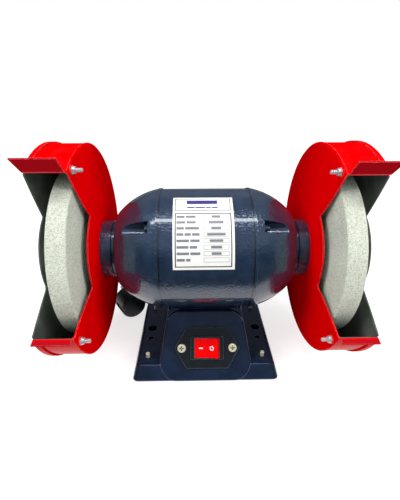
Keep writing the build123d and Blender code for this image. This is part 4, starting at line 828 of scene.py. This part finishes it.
# ------------------------------------------------------------------ mains cord
CORD_RADIUS = 3.5 * MM
COIL_CENTRE = (-6.4 * MM, 150.0 * MM)
COIL_OUTER = 46.4 * MM
COIL_PITCH = 7.2 * MM
COIL_TOP = 10.9 * MM
COIL_FOOT = 3.8 * MM
POINTS_PER_TURN = 24
COIL_POINTS = 5 * POINTS_PER_TURN + 10
LEAD_ROUTE = [
    (0.0400, 0.0880, 0.0280),
    (0.0400, 0.1020, 0.0280),
    (0.0403, 0.1180, 0.0240),
    (0.0400, 0.1340, 0.0165),
    (0.0401, 0.1505, 0.0114),
]
TAIL_ROUTE = [
    (-0.0530, 0.1555, 0.0038),
    (-0.0526, 0.1390, 0.0054),
    (-0.0527, 0.1220, 0.0112),
    (-0.0576, 0.1078, 0.0167),
    (-0.0668, 0.0960, 0.0195),
    (-0.0794, 0.0878, 0.0195),
]


def eased(value, start, end):
    """0 before start, 1 after end, and a smooth step between."""
    share = min(1.0, max(0.0, (value - start) / (end - start)))
    return share * share * (3 - 2 * share)


def coil_point(turn):
    """Where the coiled cord is after so many turns: three inwards on top, then outwards underneath."""
    lap = int(turn)
    share = turn - lap
    if lap < 2:
        step = lap + eased(share, 0.85, 1.0)
        height = COIL_TOP
    elif lap == 2:
        step = 2
        height = COIL_TOP + (COIL_FOOT - COIL_TOP) * eased(share, 0.7, 0.9)
    else:
        step = 5 - lap - eased(share, 0.5, 0.7)
        height = COIL_FOOT
    radius = COIL_OUTER - COIL_PITCH * max(0.0, step)
    angle = 2 * pi * share
    return (COIL_CENTRE[0] + radius * cos(angle), COIL_CENTRE[1] + radius * sin(angle), height)


coil_points = [coil_point(n / POINTS_PER_TURN) for n in range(1, COIL_POINTS + 1)]
cord_points = LEAD_ROUTE + coil_points + TAIL_ROUTE
cord_line = bpy.data.curves.new("mains_cord", "CURVE")
cord_line.dimensions = "3D"
cord_line.bevel_depth = CORD_RADIUS
cord_line.bevel_resolution = 6
cord_line.resolution_u = 5
cord_spline = cord_line.splines.new("NURBS")
cord_spline.points.add(len(cord_points) - 1)
for point, place_of_point in zip(cord_spline.points, cord_points):
    point.co = (*place_of_point, 1.0)
cord_spline.order_u = 3
cord_spline.use_endpoint_u = True
cord_sheath = soft_rubber("cord sheath", paint(24, 25, 27), paint(14, 15, 17), 0.0004)
cord_line.materials.append(cord_sheath)
mains_cord = bpy.data.objects.new("mains_cord", cord_line)
bpy.context.collection.objects.link(mains_cord)
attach(mains_cord, "stand")
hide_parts("cord_lead", "cord_coil", "cord_tail")

# the strap that holds the coil's turns together, once round them and over its own start
TIE_ANGLE = radians(40.0)
TIE_WIDTH = 9.0 * MM
TIE_THICKNESS = 0.9 * MM
TIE_OVERLAP = 8.0 * MM
TIE_RISE_FROM, TIE_RISE_TO = 3.6 * MM, 0.6 * MM
TIE_SLACK_INSIDE, TIE_SLACK_OUTSIDE = 0.7 * MM, 0.3 * MM
TIE_SLACK_TOP, TIE_SLACK_UNDER = 0.2 * MM, 0.05 * MM
TIE_INNER = COIL_OUTER - 2 * COIL_PITCH - CORD_RADIUS - TIE_SLACK_INSIDE
TIE_OUTER = COIL_OUTER + CORD_RADIUS + TIE_SLACK_OUTSIDE
TIE_FOOT = COIL_FOOT - CORD_RADIUS - TIE_SLACK_UNDER
TIE_TOP = COIL_TOP + CORD_RADIUS + TIE_SLACK_TOP
TIE_LOWEST = 0.05 * MM
TIE_LAYER_GAP = 0.05 * MM
CORNER_STEPS = 8
RISE_STEPS = 4


def tie_path():
    """Points on the strap's inside, from its start on top to its free end: (reach, height, outward angle)."""
    start = (TIE_INNER + TIE_OUTER) / 2
    corners = (
        (TIE_OUTER - CORD_RADIUS, TIE_TOP - CORD_RADIUS),
        (TIE_OUTER - CORD_RADIUS, TIE_FOOT + CORD_RADIUS),
        (TIE_INNER + CORD_RADIUS, TIE_FOOT + CORD_RADIUS),
        (TIE_INNER + CORD_RADIUS, TIE_TOP - CORD_RADIUS),
    )
    path = [(start, TIE_TOP, pi / 2)]
    for quarter, (reach, height) in enumerate(corners):
        for n in range(CORNER_STEPS + 1):
            angle = pi / 2 * (1 - quarter - n / CORNER_STEPS)
            path.append((reach + CORD_RADIUS * cos(angle), height + CORD_RADIUS * sin(angle), angle))
    lifted = TIE_TOP + TIE_THICKNESS + TIE_LAYER_GAP
    for n in range(RISE_STEPS + 1):
        share = n / RISE_STEPS
        before_start = TIE_RISE_FROM + (TIE_RISE_TO - TIE_RISE_FROM) * share
        rise = eased(share, 0.0, 1.0) * (lifted - TIE_TOP)
        path.append((start - before_start, TIE_TOP + rise, pi / 2))
    path.append((start + TIE_OVERLAP, lifted, pi / 2))
    return path


def coil_tie(shape):
    """The strap as a closed solid along its path."""
    across = Vector((-sin(TIE_ANGLE), cos(TIE_ANGLE), 0.0)) * TIE_WIDTH / 2
    rings = []
    for reach, height, angle in tie_path():
        ring = []
        for lift, side in ((0.0, -1), (0.0, 1), (TIE_THICKNESS, 1), (TIE_THICKNESS, -1)):
            out = reach + lift * cos(angle)
            up = max(TIE_LOWEST, height + lift * sin(angle))
            right = COIL_CENTRE[0] + out * cos(TIE_ANGLE)
            back = COIL_CENTRE[1] + out * sin(TIE_ANGLE)
            ring.append(shape.verts.new(Vector((right, back, up)) + across * side))
        rings.append(ring)
    for first, second in zip(rings, rings[1:]):
        for n in range(4):
            following = (n + 1) % 4
            shape.faces.new((first[n], first[following], second[following], second[n]))
    shape.faces.new(rings[0])
    shape.faces.new(rings[-1])


tie_rubber = soft_rubber("tie strap", paint(46, 48, 52), paint(26, 28, 31), 0.0012)
cord_tie = mesh_piece("cord_tie", coil_tie, tie_rubber, "stand")
cord_tie.data.shade_smooth()
cord_tie.data.set_sharp_from_angle(angle=radians(40.0))


# ------------------------------------------------------------------ floor, light and camera
WHITE = (1.0, 1.0, 1.0, 1.0)
COLD_SKY = (0.72, 0.80, 1.0, 1.0)
WORLD_LIGHT = 0.42
# brightness of what the reflections show: the ceiling in front and behind, the wall behind, and the dark rest
CEILING_FRONT, CEILING_BACK = 0.8, 0.4
WALL_BEHIND = 0.4
DARK_ROOM = 0.05
# the floor: its paint, its own glow near the object and far off, and where it fades out in reflections
FLOOR_HALF = 8.0
FLOOR_TONE, FLOOR_DARK = 0.62, 0.02
NEAR_GLOW, FAR_GLOW = 0.7, 0.85
GLOW_NEAR, GLOW_FAR = 0.35, 2.2
BENCH_EDGE, BENCH_END = -0.14, -0.21
WALL_EDGE, WALL_END = 0.3, 0.5
UNDER_BASE = 0.006


def light_path(wiring):
    """Two masks: rays that show the background at all, and those of them that see it in a reflection."""
    rays = wiring.add("ShaderNodeLightPath")
    mirrored = wiring.math("MAXIMUM", rays.outputs["Is Glossy Ray"], rays.outputs["Is Transmission Ray"])
    mirrored = wiring.math("MULTIPLY", mirrored, wiring.math("SUBTRACT", 1.0, rays.outputs["Is Camera Ray"]))
    shown = wiring.math("MAXIMUM", rays.outputs["Is Camera Ray"], mirrored)
    return shown, mirrored


def blend(wiring, mask, first, second):
    """The value first where mask is 0, second where it is 1."""
    share = wiring.math("MULTIPLY", mask, second)
    rest = wiring.math("MULTIPLY", wiring.math("SUBTRACT", 1.0, mask), first)
    return wiring.math("ADD", share, rest)


def backdrop():
    """A pale floor that looks white and keeps the object's shadow.

    In reflections it ends in front and behind, as a bench does, and it doesn't glow under the base.
    """
    shape = bmesh.new()
    corners = ((-1, -1), (1, -1), (1, 1), (-1, 1))
    shape.faces.new([shape.verts.new((x * FLOOR_HALF, y * FLOOR_HALF, 0.0)) for x, y in corners])
    mesh = bpy.data.meshes.new("studio_floor")
    shape.to_mesh(mesh)
    shape.free()
    floor = bpy.data.objects.new("studio_floor", mesh)
    bpy.context.collection.objects.link(floor)
    finish = Finish("studio floor", Roughness=0.9, Specular_IOR_Level=0.0)
    wiring = finish.wiring
    split = wiring.add("ShaderNodeSeparateXYZ")
    wiring.join(finish.where, split.inputs["Vector"])
    reach = wiring.add("ShaderNodeVectorMath", operation="LENGTH")
    wiring.join(finish.where, reach.inputs[0])
    shown, mirrored = light_path(wiring)
    glow = wiring.ramp(reach.outputs["Value"], GLOW_NEAR, GLOW_FAR, NEAR_GLOW, FAR_GLOW)
    bench_ends = wiring.math(
        "MAXIMUM",
        wiring.ramp(split.outputs["Y"], BENCH_EDGE, BENCH_END),
        wiring.ramp(split.outputs["Y"], WALL_EDGE, WALL_END),
    )
    past_bench = wiring.math("MULTIPLY", mirrored, bench_ends)
    sideways = wiring.math("ABSOLUTE", split.outputs["X"])
    endways = wiring.math("ABSOLUTE", split.outputs["Y"])
    from_base = wiring.math(
        "MAXIMUM",
        wiring.math("SUBTRACT", sideways, base_high.x - UNDER_BASE),
        wiring.math("SUBTRACT", endways, -base_low.y - UNDER_BASE),
    )
    in_open = wiring.ramp(from_base, 0.0, UNDER_BASE / 2)
    floor_paint = (FLOOR_TONE, FLOOR_TONE, FLOOR_TONE, 1.0)
    finish.colour(wiring.mix(past_bench, floor_paint, (FLOOR_DARK, FLOOR_DARK, FLOOR_DARK, 1.0)))
    finish.shader.inputs["Emission Color"].default_value = WHITE
    bench_glow = wiring.math("MULTIPLY", shown, blend(wiring, past_bench, glow, DARK_ROOM))
    wiring.join(wiring.math("MULTIPLY", in_open, bench_glow), finish.shader.inputs["Emission Strength"])
    mesh.materials.append(finish.material)


def studio_world():
    """Even light on the object, and plain white where the world is seen.

    Reflections show a pale ceiling, a low pale wall behind and a dark room elsewhere.
    """
    world = bpy.data.worlds.new("studio")
    bpy.context.scene.world = world
    world.use_nodes = True
    wiring = Wiring(world.node_tree)
    background = world.node_tree.nodes["Background"]
    split = wiring.add("ShaderNodeSeparateXYZ")
    wiring.join(wiring.add("ShaderNodeTexCoord").outputs["Generated"], split.inputs["Vector"])
    behind = wiring.ramp(split.outputs["Y"], 0.0, 0.5)
    low = wiring.ramp(split.outputs["Z"], 0.2, 0.04)
    ceiling = wiring.ramp(split.outputs["Y"], -0.1, 0.4, CEILING_FRONT, CEILING_BACK)
    overhead = blend(wiring, wiring.ramp(split.outputs["Z"], 0.05, 0.6), DARK_ROOM, ceiling)
    room = blend(wiring, wiring.math("MULTIPLY", behind, low), overhead, WALL_BEHIND)
    shown, mirrored = light_path(wiring)
    seen = blend(wiring, mirrored, 1.0, room)
    wiring.join(wiring.mix(mirrored, WHITE, COLD_SKY), background.inputs["Color"])
    wiring.join(blend(wiring, shown, WORLD_LIGHT, seen), background.inputs["Strength"])


def soft_lamp(name, position, target, size, power):
    """A rectangular lamp aimed at a point; position, target and size in metres, power in watts."""
    lamp = bpy.data.lights.new(name, "AREA")
    lamp.shape = "RECTANGLE"
    lamp.size, lamp.size_y = size
    lamp.energy = power
    holder = bpy.data.objects.new(name, lamp)
    bpy.context.collection.objects.link(holder)
    holder.location = position
    aim = Vector(target) - Vector(position)
    holder.rotation_euler = aim.to_track_quat("-Z", "Y").to_euler()
    return holder


backdrop()
studio_world()
soft_lamp("strip_lamp", (0.0, -0.28, 1.3), (0.0, -0.05, 0.15), (1.5, 0.13), 9.0)
for side, hand in ((-1, "left"), (1, "right")):
    position = (side * 1.15, -0.6, 0.95)
    target = (-side * 0.1, 0.0, 0.14)
    lamp = soft_lamp(f"{hand}_lamp", position, target, (0.6, 0.6), 8.5)
    lamp.visible_glossy = False

CAMERA_FROM_SHAFT = Vector((-0.0131, -0.377, 0.1896))
CAMERA_PITCH = 0.473
CAMERA_YAW = 0.02
CAMERA_LENS = 24.67
camera_data = bpy.data.cameras.new("camera")
camera_data.lens = CAMERA_LENS
camera_data.sensor_width = 36.0
camera_data.clip_start = 0.01
camera = bpy.data.objects.new("camera", camera_data)
bpy.context.collection.objects.link(camera)
camera.location = Vector((0, 0, shaft_height)) + CAMERA_FROM_SHAFT
camera.rotation_euler = (pi / 2 - CAMERA_PITCH, 0.0, -CAMERA_YAW)
bpy.context.scene.camera = camera
bpy.context.scene.view_settings.view_transform = "Standard"
